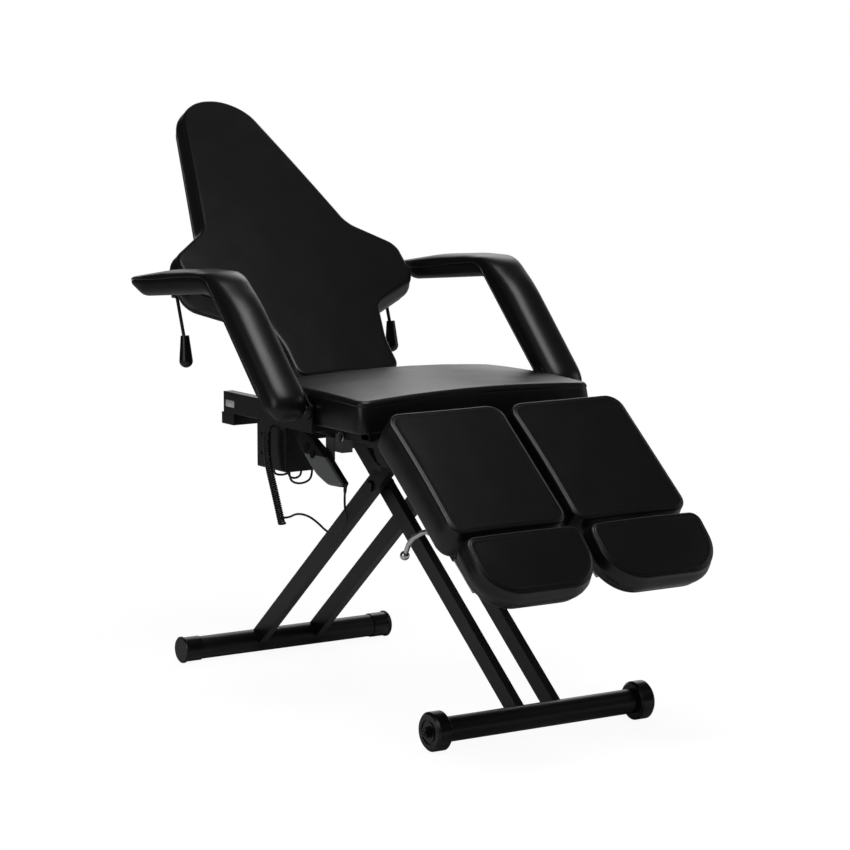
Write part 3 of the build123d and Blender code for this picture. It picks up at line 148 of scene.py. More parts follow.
# each soft box: its name, place, width and height, and watts
soft_boxes = [
    ("top_box", (-0.3, -0.8, 3.6), (1.6, 1.6), 40.0),
    ("backdrop", (3.8, 5.2, 2.2), (6.4, 4.4), 80.0),
    ("rear_top_box", (2.4, 2.8, 2.9), (1.4, 1.4), 13.0),
    ("left_box", (-4.0, -1.2, 1.9), (2.0, 2.4), 25.0),
    ("right_box", (3.8, -1.6, 1.6), (1.6, 2.2), 12.0),
]
aim = Vector((0, 0, 0.6))
for name, place, size, power in soft_boxes:
    lamp = bpy.data.lights.new(name, "AREA")
    lamp.shape = "RECTANGLE"
    lamp.size, lamp.size_y = size
    lamp.energy = power
    box = bpy.data.objects.new(name, lamp)
    box.location = place
    box.rotation_euler = (aim - Vector(place)).to_track_quat("-Z", "Y").to_euler()
    box.visible_camera = False
    bpy.context.scene.collection.objects.link(box)
bpy.context.scene.view_settings.view_transform = "Standard"


# Curly cord of the handset: PVC-sheathed wire wound close on a mandrel and set with heat.
# It leaves the side of the control box, hangs straight by its own weight and ends in the smooth lead.
curl_line = [(-0.140, 0.308, 0.560), (-0.140, 0.311, 0.520), (-0.140, 0.302, 0.480), (-0.140, 0.281, 0.436),
             (-0.140, 0.262, 0.394), (-0.140, 0.244, 0.352)]
curl_radius = 0.0068
curl_count = 41
wire_thickness = 0.0052
steps_in_turn = 14
box_outlet = Vector((-0.120, 0.308, 0.573))
outlet_steps = [(0, 0, 0), (-0.006, 0, 0), (-0.012, 0, -0.004)]
sheath_grain_mm = 1.5


def smooth_line(name, points, thickness):
    """A curve through space that follows these control points."""
    curve = bpy.data.curves.new(name, "CURVE")
    curve.dimensions = "3D"
    curve.resolution_u = 16
    spline = curve.splines.new("NURBS")
    spline.points.add(len(points) - 1)
    for point, place in zip(spline.points, points):
        point.co = (*place, 1)
    spline.order_u = 3
    spline.use_endpoint_u = True
    curve.bevel_depth = thickness / 2
    curve.bevel_resolution = 4
    return curve


def line_points(name, points):
    """The places that a smooth line passes through, close together."""
    probe = bpy.data.objects.new(name, smooth_line(name, points, 0))
    bpy.context.scene.collection.objects.link(probe)
    bpy.context.view_layer.update()
    drawn = bpy.data.meshes.new_from_object(probe.evaluated_get(bpy.context.evaluated_depsgraph_get()))
    places = [vertex.co.copy() for vertex in drawn.vertices]
    bpy.data.objects.remove(probe)
    return places


def line_length(places):
    return sum((b - a).length for a, b in zip(places, places[1:]))


def along_line(places, share):
    """The place and direction at this share of the length of a line."""
    left = share * line_length(places)
    for start, end in zip(places, places[1:]):
        length = (end - start).length
        if left <= length:
            return start.lerp(end, left / length), (end - start).normalized()
        left -= length
    return places[-1].copy(), (places[-1] - places[-2]).normalized()


curl_places = line_points("curl_line", curl_line)
curls = [box_outlet + Vector(step) for step in outlet_steps]
across = Vector((1, 0, 0))
for number in range(curl_count * steps_in_turn + 1):
    centre, direction = along_line(curl_places, number / (curl_count * steps_in_turn))
    turn = 2 * math.pi * number / steps_in_turn
    curls.append(centre + (across * math.cos(turn) + direction.cross(across) * math.sin(turn)) * curl_radius)
curls.append(curls[-1] + direction.cross(across) * wire_thickness)
curly_cord = bpy.data.objects.new("curled_wire", smooth_line("curled_wire", curls, wire_thickness))
curly_cord.data.resolution_u = 2
bpy.context.scene.collection.objects.link(curly_cord)

# soft PVC: a dull sheen with faint flow lines across the wire
sheath, place = new_material("black_pvc_sheath")
grain = add_node(sheath, "ShaderNodeTexNoise", Vector=place, Scale=1000 / sheath_grain_mm, Detail=2.0)
dent = add_node(sheath, "ShaderNodeBump", Height=grain.outputs["Fac"], Strength=0.15, Distance=0.0002)
pvc = add_node(sheath, "ShaderNodeBsdfPrincipled", Base_Color=linear("#0c0c0c"), Roughness=0.42, IOR=1.53,
               Normal=dent.outputs["Normal"])
add_node(sheath, "ShaderNodeOutputMaterial", Surface=pvc.outputs[0])


def sheathe(wire, node):
    """Gives a wire its sheath and puts it in the place of its plain solid."""
    wire.data.materials.append(sheath)
    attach(wire, "upper_frame")
    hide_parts(node)


sheathe(curly_cord, "curly_cord")


# Smooth lead of the handset: the same wire without curls, limp enough to hang in a loop.
# It rises a little from the curls, sags and turns up into the sleeve at the handset's lower end.
lead_line = [(-0.138, 0.250, 0.366), (-0.138, 0.219, 0.369), (-0.138, 0.180, 0.386), (-0.139, 0.128, 0.388),
             (-0.141, 0.082, 0.378), (-0.141, 0.045, 0.363), (-0.141, 0.010, 0.362), (-0.141, -0.024, 0.373),
             (-0.141, -0.046, 0.400), (-0.141, -0.030, 0.432), (-0.141, -0.034, 0.464)]
lead = bpy.data.objects.new("handset_wire", smooth_line("handset_wire", lead_line, wire_thickness))
bpy.context.scene.collection.objects.link(lead)
lead_length = line_length(line_points("lead_line", lead_line))
sheathe(lead, "handset_lead")


# Cables of the control box: short loops of round cable that leave its bottom and go back into it.
# They hang by their own weight, each a little less deep than the one before.
cable_thickness = 0.0052
cable_sag = 0.028
# each loop: how far back it lies, where it leaves and where it returns, as shares of the box, and its sag
cable_loops = [(0.118, 0.220, 0.901, 1.0), (0.315, 0.352, 0.747, 0.7), (0.512, 0.088, 0.593, 0.5)]
# the shape of a loop: along and down, as shares of its width and its sag
cable_shape = [(0, 0), (0, 0.35), (0.1, 0.92), (0.5, 1.16), (0.9, 0.92), (1, 0.35), (1, 0)]

box_low, box_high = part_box("control_box")
cover_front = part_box("control_box_cover")[0].y
for number, (back, leaves, returns, sag) in enumerate(cable_loops):
    y = cover_front + back * (box_high.y - cover_front)
    start, end = [box_low.x + share * (box_high.x - box_low.x) for share in (leaves, returns)]
    loop = [(start + along * (end - start), y, box_low.z - down * sag * cable_sag)
            for along, down in cable_shape]
    name = f"box_cable_{number + 1}"
    cable = bpy.data.objects.new(name, smooth_line(name, loop, cable_thickness))
    bpy.context.scene.collection.objects.link(cable)
    cable_length = line_length(line_points(f"{name}_line", loop))
    sheathe(cable, "control_cables")


# Seat cushion: firm foam glued on a plywood board, under a cover of satin black vinyl.
# The cover is sewn from a top panel and a side band; it is drawn tight and stapled under the board.
seat_half = 0.305
seat_front = -0.359
seat_rear = 0.056
seat_middle = (seat_front + seat_rear) / 2
seat_base = 0.645
seat_crown = 0.733
seat_ball = 3.774
seat_corner = 0.026
seat_spine = 0.15
seat_bulge = 0.0012
seat_side_rings = 9
seat_face_rings = 24
side_draw = 0.004
seat_draw_reach = 0.8
point_gap = 0.006
face_ease = 1.25
# the cover's lower edge, as (in from the outline, up from the underside); it wraps the board's edge
board_edge = 0.0072
cover_low = [(board_edge, 0.0004), (0.0040, 0.0003), (0.0015, 0.0010), (0.0004, 0.0024), (0.0, 0.0040)]
# the seam of the side band, and the round of the face's edge, as (in from the outline, down from the face)
band_seam = [(0.0, 0.0165), (0.0004, 0.0135), (0.0017, 0.0122), (0.0004, 0.0109)]
edge_radius = 0.0095
edge_steps = 6
# dents of the cover: how many in a metre, and the finer ones as multiples and shares of these
face_dents, face_fine, face_fine_share = 11, 2.7, 0.35
side_dents, side_dents_upright, side_fine, side_fine_share = 28, 7, 2.3, 0.4
pleat_height = 0.0021
pleat_reach = 0.024
pleat_width = 0.0036
stitch_length = 0.0042
stitch_gap = 0.0062
stitch_radius = 0.00045
stitch_lift = 0.0004
merge_gap = 0.0001
grain_mm = 1.3
fine_mm = 0.5
patch_mm = 70
twist_mm = 0.35


def rounded_outline(corners, radii, gap):
    """Points a small gap apart round an outline of straight sides and rounded corners."""
    drawing = bmesh.new()
    marks = [drawing.verts.new((x, y, 0)) for x, y in corners]
    drawing.faces.new(marks)
    for mark, radius in zip(marks, radii):
        before, after = [edge.other_vert(mark).co - mark.co for edge in mark.link_edges]
        turn = math.pi - before.angle(after)
        bmesh.ops.bevel(drawing, geom=[mark], offset=radius * math.tan(turn / 2), offset_type="OFFSET",
                        affect="VERTICES", segments=max(2, round(turn * radius / gap)), profile=0.5,
                        material=-1)
    for edge in list(drawing.edges):
        cuts = round(edge.calc_length() / gap) - 1
        if cuts > 0:
            bmesh.ops.subdivide_edges(drawing, edges=[edge], cuts=cuts)
    drawing.normal_update()
    drawing.faces.ensure_lookup_table()
    points = [loop.vert.co.to_2d() for loop in drawing.faces[0].loops]
    if drawing.faces[0].normal.z < 0:
        points.reverse()
    drawing.free()
    return points


def inward_directions(points):
    """For each point of an outline that runs anticlockwise, the direction to its inside."""
    ways = []
    for number, point in enumerate(points):
        along = points[(number + 1) % len(points)] - points[number - 1]
        ways.append(Vector((-along.y, along.x)).normalized())
    return ways


def skin(rings):
    """A skin through closed rings of points: the first ring is laid out, and extruded to each next one."""
    sheet = bmesh.new()
    mark = sheet.verts.layers.int.new("mark")
    first = [sheet.verts.new(point) for point in rings[0]]
    for number, vertex in enumerate(first):
        vertex[mark] = number
    edges = [sheet.edges.new(pair) for pair in zip(first, first[1:] + first[:1])]
    for ring in rings[1:]:
        made = bmesh.ops.extrude_edge_only(sheet, edges=edges)["geom"]
        new = {vertex for vertex in made if isinstance(vertex, bmesh.types.BMVert)}
        for vertex in new:
            vertex.co = ring[vertex[mark]]
        edges = [edge for edge in made if isinstance(edge, bmesh.types.BMEdge) and set(edge.verts) <= new]
    return sheet


def finish_piece(name, sheet, merge=0.0):
    """An object made from a bmesh, smooth, with its faces outwards."""
    if merge:
        bmesh.ops.remove_doubles(sheet, verts=sheet.verts, dist=merge)
    bmesh.ops.recalc_face_normals(sheet, faces=sheet.faces)
    for face in sheet.faces:
        face.smooth = True
    mesh = bpy.data.meshes.new(name)
    sheet.to_mesh(mesh)
    sheet.free()
    piece = bpy.data.objects.new(name, mesh)
    bpy.context.scene.collection.objects.link(piece)
    return piece


def high_level(low, side_rings):
    """The number of the ring at which the upper edge of a cover starts."""
    return len(low) + side_rings - 1


def pad_rings(outline, depth, crown, low, high, side_rings, bulge, centre, face_rings, place, ripple):
    """The rings of a cover, from the board's edge, up the side and in over the face to its middle line.

    low is a list of (in from the outline, up from the underside), high of (in, down from the face)."""
    ways = inward_directions(outline)
    rings = []
    for inset, up in low:
        rings.append([(p + w * inset, up) for p, w in zip(outline, ways)])
    top_of_low = low[-1][1]
    foot_of_high = high[0][1]
    for number in range(1, side_rings):
        share = number / side_rings
        out = bulge * math.sin(math.pi * share)
        rings.append([(p - w * out, top_of_low + (depth + crown(p) - foot_of_high - top_of_low) * share)
                      for p, w in zip(outline, ways)])
    for inset, down in high:
        ring = [p + w * inset for p, w in zip(outline, ways)]
        rings.append([(q, depth + crown(q) - down) for q in ring])
    edge = [q for q, up in rings[-1]]
    for number in range(1, face_rings + 1):
        share = (number / face_rings) ** face_ease
        ring = [q.lerp(centre(q), share) for q in edge]
        rings.append([(q, depth + crown(q)) for q in ring])
    side_end = high_level(low, side_rings)
    placed = []
    for level, ring in enumerate(rings):
        points = []
        for (q, up), w in zip(ring, ways):
            point = Vector((q.x, q.y, up))
            if len(low) <= level < side_end:
                swell = ripple(point, True) * math.sin(math.pi * (level - len(low) + 1) / side_rings)
                point += Vector((w.x, w.y, 0)) * swell
            elif level >= side_end + len(high):
                point.z += ripple(point, False)
            points.append(place @ point)
        placed.append(points)
    return placed


def snap(value):
    """A place on the middle line of a face, in even steps, so that the points that meet there merge."""
    return round(value / point_gap) * point_gap


def cover_ripple(seed, face_height, side_height):
    """How far the cover stands off its even shape: soft dents on the face, short upright ones on the side."""
    def ripple(point, on_side):
        if on_side:
            place = Vector((point.x * side_dents, point.y * side_dents, point.z * side_dents_upright + seed))
            fine = side_fine_share * noise.noise(place * side_fine)
            return side_height * (noise.noise(place) + fine)
        place = Vector((point.x * face_dents, point.y * face_dents, seed))
        return face_height * (noise.noise(place) + face_fine_share * noise.noise(place * face_fine))
    return ripple


def stitch_row(name, points, lift):
    """Stitches of thick thread along a closed line of points, each a short bead pressed into the cover."""
    places = points + points[:1]
    lengths = [(b - a).length for a, b in zip(places, places[1:])]
    count = round(sum(lengths) / stitch_gap)
    row = bmesh.new()
    segment = 0
    passed = 0.0
    for number in range(count):
        wanted = sum(lengths) * number / count
        while passed + lengths[segment] < wanted and segment < len(lengths) - 1:
            passed += lengths[segment]
            segment += 1
        start, end = places[segment], places[segment + 1]
        centre = start.lerp(end, (wanted - passed) / max(lengths[segment], 1e-6)) + lift
        turn = (end - start).normalized().to_track_quat("X", "Z").to_matrix().to_4x4()
        shape = turn @ Matrix.Diagonal((stitch_length / 2, stitch_radius, stitch_radius, 1))
        bmesh.ops.create_icosphere(row, subdivisions=1, radius=1.0, matrix=Matrix.Translation(centre) @ shape)
    return finish_piece(name, row)


def drawn_in_corners(half, front, rear):
    """The corners of a pad and, between them, the middles of its sides, which pull in a little."""
    middle = (front + rear) / 2
    return [(-half, front), (0, front + side_draw), (half, front), (half - side_draw, middle), (half, rear),
            (0, rear - side_draw), (-half, rear), (-half + side_draw, middle)]


def drawn_in_radii(half, front, rear, corner, reach):
    """The radii that go with them: each side's slow curve takes up this share of its length."""
    across_side = reach * half ** 2 / side_draw
    along_side = reach * ((rear - front) / 2) ** 2 / side_draw
    return [corner, across_side, corner, along_side] * 2


def shoulder(radius):
    """The round of an edge, as (in, down) from the outline's side to the face."""
    turns = [math.pi / 2 * number / edge_steps for number in range(edge_steps + 1)]
    return [(radius * (1 - math.cos(turn)), radius * (1 - math.sin(turn))) for turn in turns]


def seat_height(point):
    return -(point.x ** 2 + (point.y - seat_middle) ** 2) / (2 * seat_ball)


def seat_centre(point):
    return Vector((snap(max(-seat_spine, min(seat_spine, point.x))), seat_middle))


seat_corners = drawn_in_corners(seat_half, seat_front, seat_rear)
seat_radii = drawn_in_radii(seat_half, seat_front, seat_rear, seat_corner, seat_draw_reach)
seat_line = rounded_outline(seat_corners, seat_radii, point_gap)
seat_high = band_seam + shoulder(edge_radius)
corner_spots = [Vector((x, y)) for x, y in seat_corners[::2]]
seat_even = cover_ripple(seed=2.0, face_height=0.0009, side_height=0.0011)


def seat_ripple(point, on_side):
    """The even dents of the cover, and upright pleats where it is gathered round each corner."""
    height = seat_even(point, on_side)
    if on_side:
        reach = min((point.to_2d() - spot).length for spot in corner_spots)
        height += pleat_height * math.exp(-(reach / pleat_reach) ** 2) * math.cos(reach / pleat_width)
    return height


seat_rings = pad_rings(seat_line, seat_crown - seat_base, seat_height, cover_low, seat_high, seat_side_rings,
                       seat_bulge, seat_centre, seat_face_rings, Matrix.Translation((0, 0, seat_base)),
                       seat_ripple)
seat_cover = finish_piece("seat_cover", skin(seat_rings), merge=merge_gap)

# satin vinyl: fine leather grain about a millimetre wide, a soft even sheen, and slow changes of gloss
vinyl, place = new_material("satin_vinyl")
pebbles = add_node(vinyl, "ShaderNodeTexVoronoi", {"feature": "SMOOTH_F1"}, Vector=place,
                   Scale=1000 / grain_mm, Smoothness=0.6)
pores = add_node(vinyl, "ShaderNodeTexNoise", Vector=place, Scale=1000 / fine_mm, Detail=2.0)
grain = add_node(vinyl, "ShaderNodeMath", {"operation": "ADD"},
                 [(0, pebbles.outputs["Distance"]), (1, pores.outputs["Fac"])])
grain_dent = add_node(vinyl, "ShaderNodeBump", Height=grain.outputs[0], Strength=0.22, Distance=0.00018)
patches = add_node(vinyl, "ShaderNodeTexNoise", Vector=place, Scale=1000 / patch_mm, Detail=3.0)
gloss = add_node(vinyl, "ShaderNodeMapRange", Value=patches.outputs["Fac"], To_Min=0.33, To_Max=0.38)
shade = add_node(vinyl, "ShaderNodeMix", {"data_type": "RGBA"},
                 [(0, patches.outputs["Fac"]), (6, linear("#0c0c0d")), (7, linear("#0f0f10"))])
vinyl_skin = add_node(vinyl, "ShaderNodeBsdfPrincipled", Base_Color=shade.outputs[2],
                      Roughness=gloss.outputs[0], IOR=1.5, Normal=grain_dent.outputs["Normal"])
add_node(vinyl, "ShaderNodeOutputMaterial", Surface=vinyl_skin.outputs[0])

# polyester thread of the seams: black, a little shinier than the cover
thread, place = new_material("black_thread")
twist = add_node(thread, "ShaderNodeTexNoise", Vector=place, Scale=1000 / twist_mm)
twist_dent = add_node(thread, "ShaderNodeBump", Height=twist.outputs["Fac"], Strength=0.4, Distance=0.0001)
strands = add_node(thread, "ShaderNodeBsdfPrincipled", Base_Color=linear("#1a1a1c"), Roughness=0.38,
                   Normal=twist_dent.outputs["Normal"])
add_node(thread, "ShaderNodeOutputMaterial", Surface=strands.outputs[0])


def dress_cover(piece, body, node):
    """Covers a pad in vinyl and puts it in the place of its plain solid."""
    piece.data.materials.append(vinyl)
    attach(piece, body)
    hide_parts(node)


def dress_thread(piece, body):
    """Stitches are of black thread and move with their cover."""
    piece.data.materials.append(thread)
    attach(piece, body)


dress_cover(seat_cover, "upper_frame", "seat_cushion")
seat_stitch_level = high_level(cover_low, seat_side_rings) + len(band_seam)
seat_stitches = stitch_row("seat_stitches", seat_rings[seat_stitch_level], Vector((0, 0, stitch_lift)))
dress_thread(seat_stitches, "upper_frame")


# Backrest: a tall foam panel on a shaped board, narrow at the seat, with a wing each side at the shoulders.
# Its face panel is sewn to a side band, and a piped seam closes the band at the rear.
back_foot_y = 0.149
back_foot_z = 0.700
back_lean = 42.8
back_depth = 0.068
back_crown = 0.006
back_ball = 9.0
back_spine_low, back_spine_high = 0.09, 0.84
back_bulge = 0.0055
back_side_rings = 8
back_face_rings = 22
# one half of the outline, from the seat up to the top
back_half = [(0.141, 0.015), (0.141, 0.106), (0.168, 0.212), (0.306, 0.282), (0.306, 0.396), (0.199, 0.472),
             (0.081, 0.902)]
back_middle = (back_half[0][1] + back_half[-1][1]) / 2
back_corner_radii = [0.030, 0.160, 0.020, 0.050, 0.044, 0.060, 0.100]
back_low = [(board_edge, 0.0004), (0.0046, 0.0010), (0.0022, 0.0032), (0.0006, 0.0070), (0.0, 0.0110),
            (0.0010, 0.0122), (0.0, 0.0134)]
back_seam_level = 5
back_piping_radius = 0.0016


def face_place(x, y, z, lean):
    """A pad's own frame: Y runs up its face, and Z out of it."""
    return Matrix.Translation((x, y, z)) @ Matrix.Rotation(math.radians(lean), 4, "X")


def back_height(point):
    return back_crown - (point.x ** 2 + (point.y - back_middle) ** 2) / (2 * back_ball)


def back_centre(point):
    return Vector((0, snap(max(back_spine_low, min(back_spine_high, point.y)))))


def piping(name, points, radius, body):
    """A vinyl-covered cord sewn into a seam, along a closed line of points."""
    curve = bpy.data.curves.new(name, "CURVE")
    curve.dimensions = "3D"
    spline = curve.splines.new("POLY")
    spline.points.add(len(points) - 1)
    for point, place in zip(spline.points, points):
        point.co = (*place, 1)
    spline.use_cyclic_u = True
    curve.bevel_depth = radius
    curve.bevel_resolution = 2
    piece = bpy.data.objects.new(name, curve)
    bpy.context.scene.collection.objects.link(piece)
    piece.data.materials.append(vinyl)
    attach(piece, body)


back_place = face_place(0, back_foot_y, back_foot_z, back_lean)
back_corners = back_half + [(-x, v) for x, v in reversed(back_half)]
back_line = rounded_outline(back_corners, back_corner_radii + back_corner_radii[::-1], point_gap)
back_rings = pad_rings(back_line, back_depth, back_height, back_low, seat_high, back_side_rings, back_bulge,
                       back_centre, back_face_rings, back_place @ Matrix.Translation((0, 0, -back_depth)),
                       cover_ripple(seed=9.0, face_height=0.0008, side_height=0.0010))
back_cover = finish_piece("back_cover", skin(back_rings), merge=merge_gap)
dress_cover(back_cover, "backrest", "back_cushion")
back_stitch_level = high_level(back_low, back_side_rings) + len(band_seam)
back_normal = back_place.to_3x3() @ Vector((0, 0, 1))
back_stitches = stitch_row("back_stitches", back_rings[back_stitch_level], back_normal * stitch_lift)
dress_thread(back_stitches, "backrest")
piping("back_piping", back_rings[back_seam_level], back_piping_radius, "backrest")


# Leg rests: two foam pads side by side on plywood, split in the middle so that each can move alone.
# The face panel is sewn to the band with a double row of stitches just inside the edge.
leg_lean = 39.5
leg_inner = 0.009
leg_outer = 0.306
leg_half = (leg_outer - leg_inner) / 2
leg_centre_x = (leg_outer + leg_inner) / 2
leg_edge_y = -0.451
leg_edge_z = 0.7025
leg_length = 0.345
leg_depth = 0.078
leg_crown = 0.004
leg_ball = 5.2
leg_corner = 0.036
leg_draw_reach = 0.66
leg_spine_low, leg_spine_high = -0.20, -0.145
leg_bulge = 0.0026
leg_side_rings = 9
leg_face_rings = 20
leg_edge_radius = 0.0050
leg_low = [(board_edge, 0.0004), (0.0050, 0.0009), (0.0026, 0.0030), (0.0008, 0.0065), (0.0, 0.0110)]
# the seam in the face: two rows of stitches, with a groove between them
face_seam = [(0.0056, -0.0002), (0.0064, 0.0000), (0.0071, 0.0008), (0.0078, 0.0000), (0.0090, -0.0003),
             (0.0130, -0.0005)]
leg_stitch_lift = 0.0001


def leg_height(point):
    return leg_crown - (point.x ** 2 + (point.y + leg_length / 2) ** 2) / (2 * leg_ball)


def leg_centre(point):
    return Vector((0, snap(max(leg_spine_low, min(leg_spine_high, point.y)))))


def face_stitches(names, rings, low, side_rings, place, body):
    """The two rows of stitches of a leg or foot pad."""
    outer_level = high_level(low, side_rings) + len(leg_high) - len(face_seam)
    lift = place.to_3x3() @ Vector((0, 0, leg_stitch_lift))
    for name, level in zip(names, (outer_level, outer_level + len(face_seam) - 1)):
        dress_thread(stitch_row(name, rings[level], lift), body)


leg_high = [(0.0, 0.0110)] + shoulder(leg_edge_radius) + face_seam
leg_radii = drawn_in_radii(leg_half, -leg_length, 0, leg_corner, leg_draw_reach)
leg_line = rounded_outline(drawn_in_corners(leg_half, -leg_length, 0), leg_radii, point_gap)
for side, sign in (("left", -1), ("right", 1)):
    leg_place = face_place(sign * leg_centre_x, leg_edge_y, leg_edge_z, leg_lean)
    rings = pad_rings(leg_line, leg_depth, leg_height, leg_low, leg_high, leg_side_rings, leg_bulge,
                      leg_centre, leg_face_rings, leg_place @ Matrix.Translation((0, 0, -leg_depth)),
                      cover_ripple(seed=20.0 + sign, face_height=0.0007, side_height=0.0010))
    cover = finish_piece(f"leg_cover_{side}", skin(rings), merge=merge_gap)
    dress_cover(cover, f"{side}_leg_rest", f"leg_cushion_{side}")
    face_stitches((f"leg_stitches_outer_{side}", f"leg_stitches_inner_{side}"), rings, leg_low,
                  leg_side_rings, leg_place, f"{side}_leg_rest")


# Foot rests: smaller foam pads with wide round corners in front, on chromed rods that slide in the leg rests.
# They are sewn as the leg rests are, and their underside is closed with the same vinyl.
foot_lean = 47.0
foot_half = 0.145
foot_length = 0.150
foot_depth = 0.065
foot_ball = 2.6
foot_edge_y = -0.74669
foot_edge_z = 0.48203
foot_spine_half, foot_spine_y = 0.07, -0.069
foot_radii = [0.088, 0.088, 0.024, 0.024]
foot_bulge = 0.0062
foot_side_rings = 7
foot_face_rings = 14
foot_low = [(0.0240, 0.0004), (0.0150, 0.0008), (0.0080, 0.0024), (0.0034, 0.0060), (0.0008, 0.0110),
            (0.0, 0.0170)]


def foot_height(point):
    return leg_crown - (point.x ** 2 + (point.y + foot_length / 2) ** 2) / (2 * foot_ball)


def foot_centre(point):
    return Vector((snap(max(-foot_spine_half, min(foot_spine_half, point.x))), snap(foot_spine_y)))


foot_corners = [(-foot_half, -foot_length), (foot_half, -foot_length), (foot_half, 0), (-foot_half, 0)]
foot_line = rounded_outline(foot_corners, foot_radii, point_gap)
for side, sign in (("left", -1), ("right", 1)):
    foot_place = face_place(sign * leg_centre_x, foot_edge_y, foot_edge_z, foot_lean)
    rings = pad_rings(foot_line, foot_depth, foot_height, foot_low, leg_high, foot_side_rings, foot_bulge,
                      foot_centre, foot_face_rings, foot_place @ Matrix.Translation((0, 0, -foot_depth)),
                      cover_ripple(seed=40.0 + sign, face_height=0.0006, side_height=0.0010))
    sheet = skin(rings)
    bmesh.ops.remove_doubles(sheet, verts=sheet.verts, dist=merge_gap)
    rim = [edge for edge in sheet.edges if len(edge.link_faces) == 1]
    bmesh.ops.contextual_create(sheet, geom=rim)
    cover = finish_piece(f"foot_cover_{side}", sheet)
    dress_cover(cover, f"{side}_foot_rest", f"foot_cushion_{side}")
    face_stitches((f"foot_stitches_0_{side}", f"foot_stitches_1_{side}"), rings, foot_low, foot_side_rings,
                  foot_place, f"{side}_foot_rest")


# Armrests: a bent foam-covered core that swings on a bolt beside the seat, with a padded upper half.
# Both halves are covered in vinyl and meet in a piped seam, which runs round the tip and round the foot,
# lower on the inner side than on the outer one. A short steel plate at the foot takes the bolt.
arm_inner = 0.322
arm_half = 0.048
arm_top_line = [(-0.172, 0.655), (-0.206, 0.690), (-0.176, 0.728), (-0.006, 0.905), (0.080, 0.964),
                (0.176, 0.963), (0.316, 0.951), (0.486, 0.923), (0.488, 0.917)]
arm_top_rounds = [0.010, 0.040, 0.150, 0.300, 0.110, 0.300, 0.500, 0.003, 0.003]
arm_seam_line = [(0.335, 0.930), (0.215, 0.945), (0.110, 0.953), (-0.126, 0.716)]
arm_seam_rounds = [0.300, 0.300, 0.050, 0.060]
core_tip = (0.488, 0.914)
core_line = [(-0.126, 0.716), (-0.115, 0.704), (0.084, 0.917), (0.261, 0.899), (0.400, 0.885), core_tip,
             (0.335, 0.930), (0.215, 0.945), (0.110, 0.953)]
core_rounds = [0.002, 0.004, 0.060, 0.300, 0.080, 0.003, 0.300, 0.300, 0.050]
arm_stations = 150
arm_point_gap = 0.003
end_crowding = 0.45
tip_taper_power = 1.3
tip_taper_from = 0.395
tip_end = 0.488
tip_half = 0.035
tip_round = 0.033
foot_round = 0.044
# across the armrest, the cover and the core, as shares of half its width and of its height there;
# a height below 0 is a share of how far the inner seam lies lower
dome = [(-1.0, 0.0), (-1.006, 0.10), (-1.0, 0.24), (-0.985, 0.38), (-0.955, 0.50), (-0.905, 0.615),
        (-0.835, 0.715), (-0.745, 0.80), (-0.635, 0.87), (-0.505, 0.925), (-0.36, 0.965), (-0.19, 0.992),
        (0.0, 1.0)]
dome = dome + [(-x, h) for x, h in reversed(dome[:-1])] + [(1.008, -0.5), (1.010, -1.0)]
inner_drop = 0.010
drop_fade = 0.012
hull = [(-1.0, 1.0), (-1.0, 0.7), (-0.995, 0.45), (-0.975, 0.26), (-0.93, 0.12), (-0.86, 0.035), (-0.76, 0.0),
        (-0.4, 0.0), (0.0, 0.0)]
hull = hull + [(-x, h) for x, h in reversed(hull[:-1])]
tang_half = 0.022
tang_length = 0.060
tang_thickness = 0.004
arm_piping_radius = 0.0019
arm_pivot = Vector((-0.161, 0.679))


def half_width(y, from_foot):
    """Half the armrest's width: even along its length, round at the foot, tapered and round at the tip."""
    half = arm_half
    if y > tip_taper_from:
        share = (y - tip_taper_from) / (tip_end - tip_taper_from)
        half += (tip_half - arm_half) * share ** tip_taper_power
    past = y - (tip_end - tip_round)
    if past > 0:
        half += math.sqrt(max(tip_round ** 2 - past ** 2, 0)) - tip_round
    if from_foot < foot_round:
        half *= math.sqrt(1 - (1 - from_foot / foot_round) ** 2)
    return half


def nearest(points, target):
    return min(range(len(points)), key=lambda number: (points[number] - Vector(target)).length)


def stations(points):
    """Points along a line from its start to its end, closer together at both ends."""
    spots = [Vector((p.x, p.y, 0)) for p in points]
    line = []
    for number in range(arm_stations):
        share = number / (arm_stations - 1)
        eased = (1 - end_crowding) * share + end_crowding * (1 - math.cos(math.pi * share)) / 2
        line.append(along_line(spots, min(eased, 1.0))[0].to_2d())
    return line


def two_runs(corners, rounds, start, end):
    """The lower and the upper run of stations along a closed outline, from its start to its end."""
    outline = rounded_outline(corners, rounds, arm_point_gap)
    first, last = nearest(outline, start), nearest(outline, end)
    turned = outline[first:] + outline[:first]
    last = (last - first) % len(outline)
    one_way = turned[:last + 1]
    other_way = [turned[0]] + turned[:last - 1:-1]
    lower, upper = sorted((one_way, other_way), key=lambda line: sum(p.y for p in line) / len(line))
    return stations(lower), stations(upper)


def arm_rings(runs, section, sign, ripple):
    """Rings of points across the armrest, one for each station, from its outer to its inner side."""
    rings = []
    for low, high in zip(*runs):
        centre = (low + high) / 2
        half = half_width(centre.x, (centre - foot_point).length)
        ring = []
        for across, up in section:
            raised = max(up, 0)
            drop = inner_drop * min(1, (high - low).length / drop_fade) * max(-up, 0)
            spot = low.lerp(high, raised) + (low - high).normalized() * drop
            swell = 0
            if ripple:
                swell = ripple(Vector((across * half, spot.x, spot.y)), False) * 4 * raised * (1 - raised)
            ring.append(Vector((sign * (arm_inner + arm_half - across * half), spot.x, spot.y + swell)))
        rings.append(ring)
    return rings


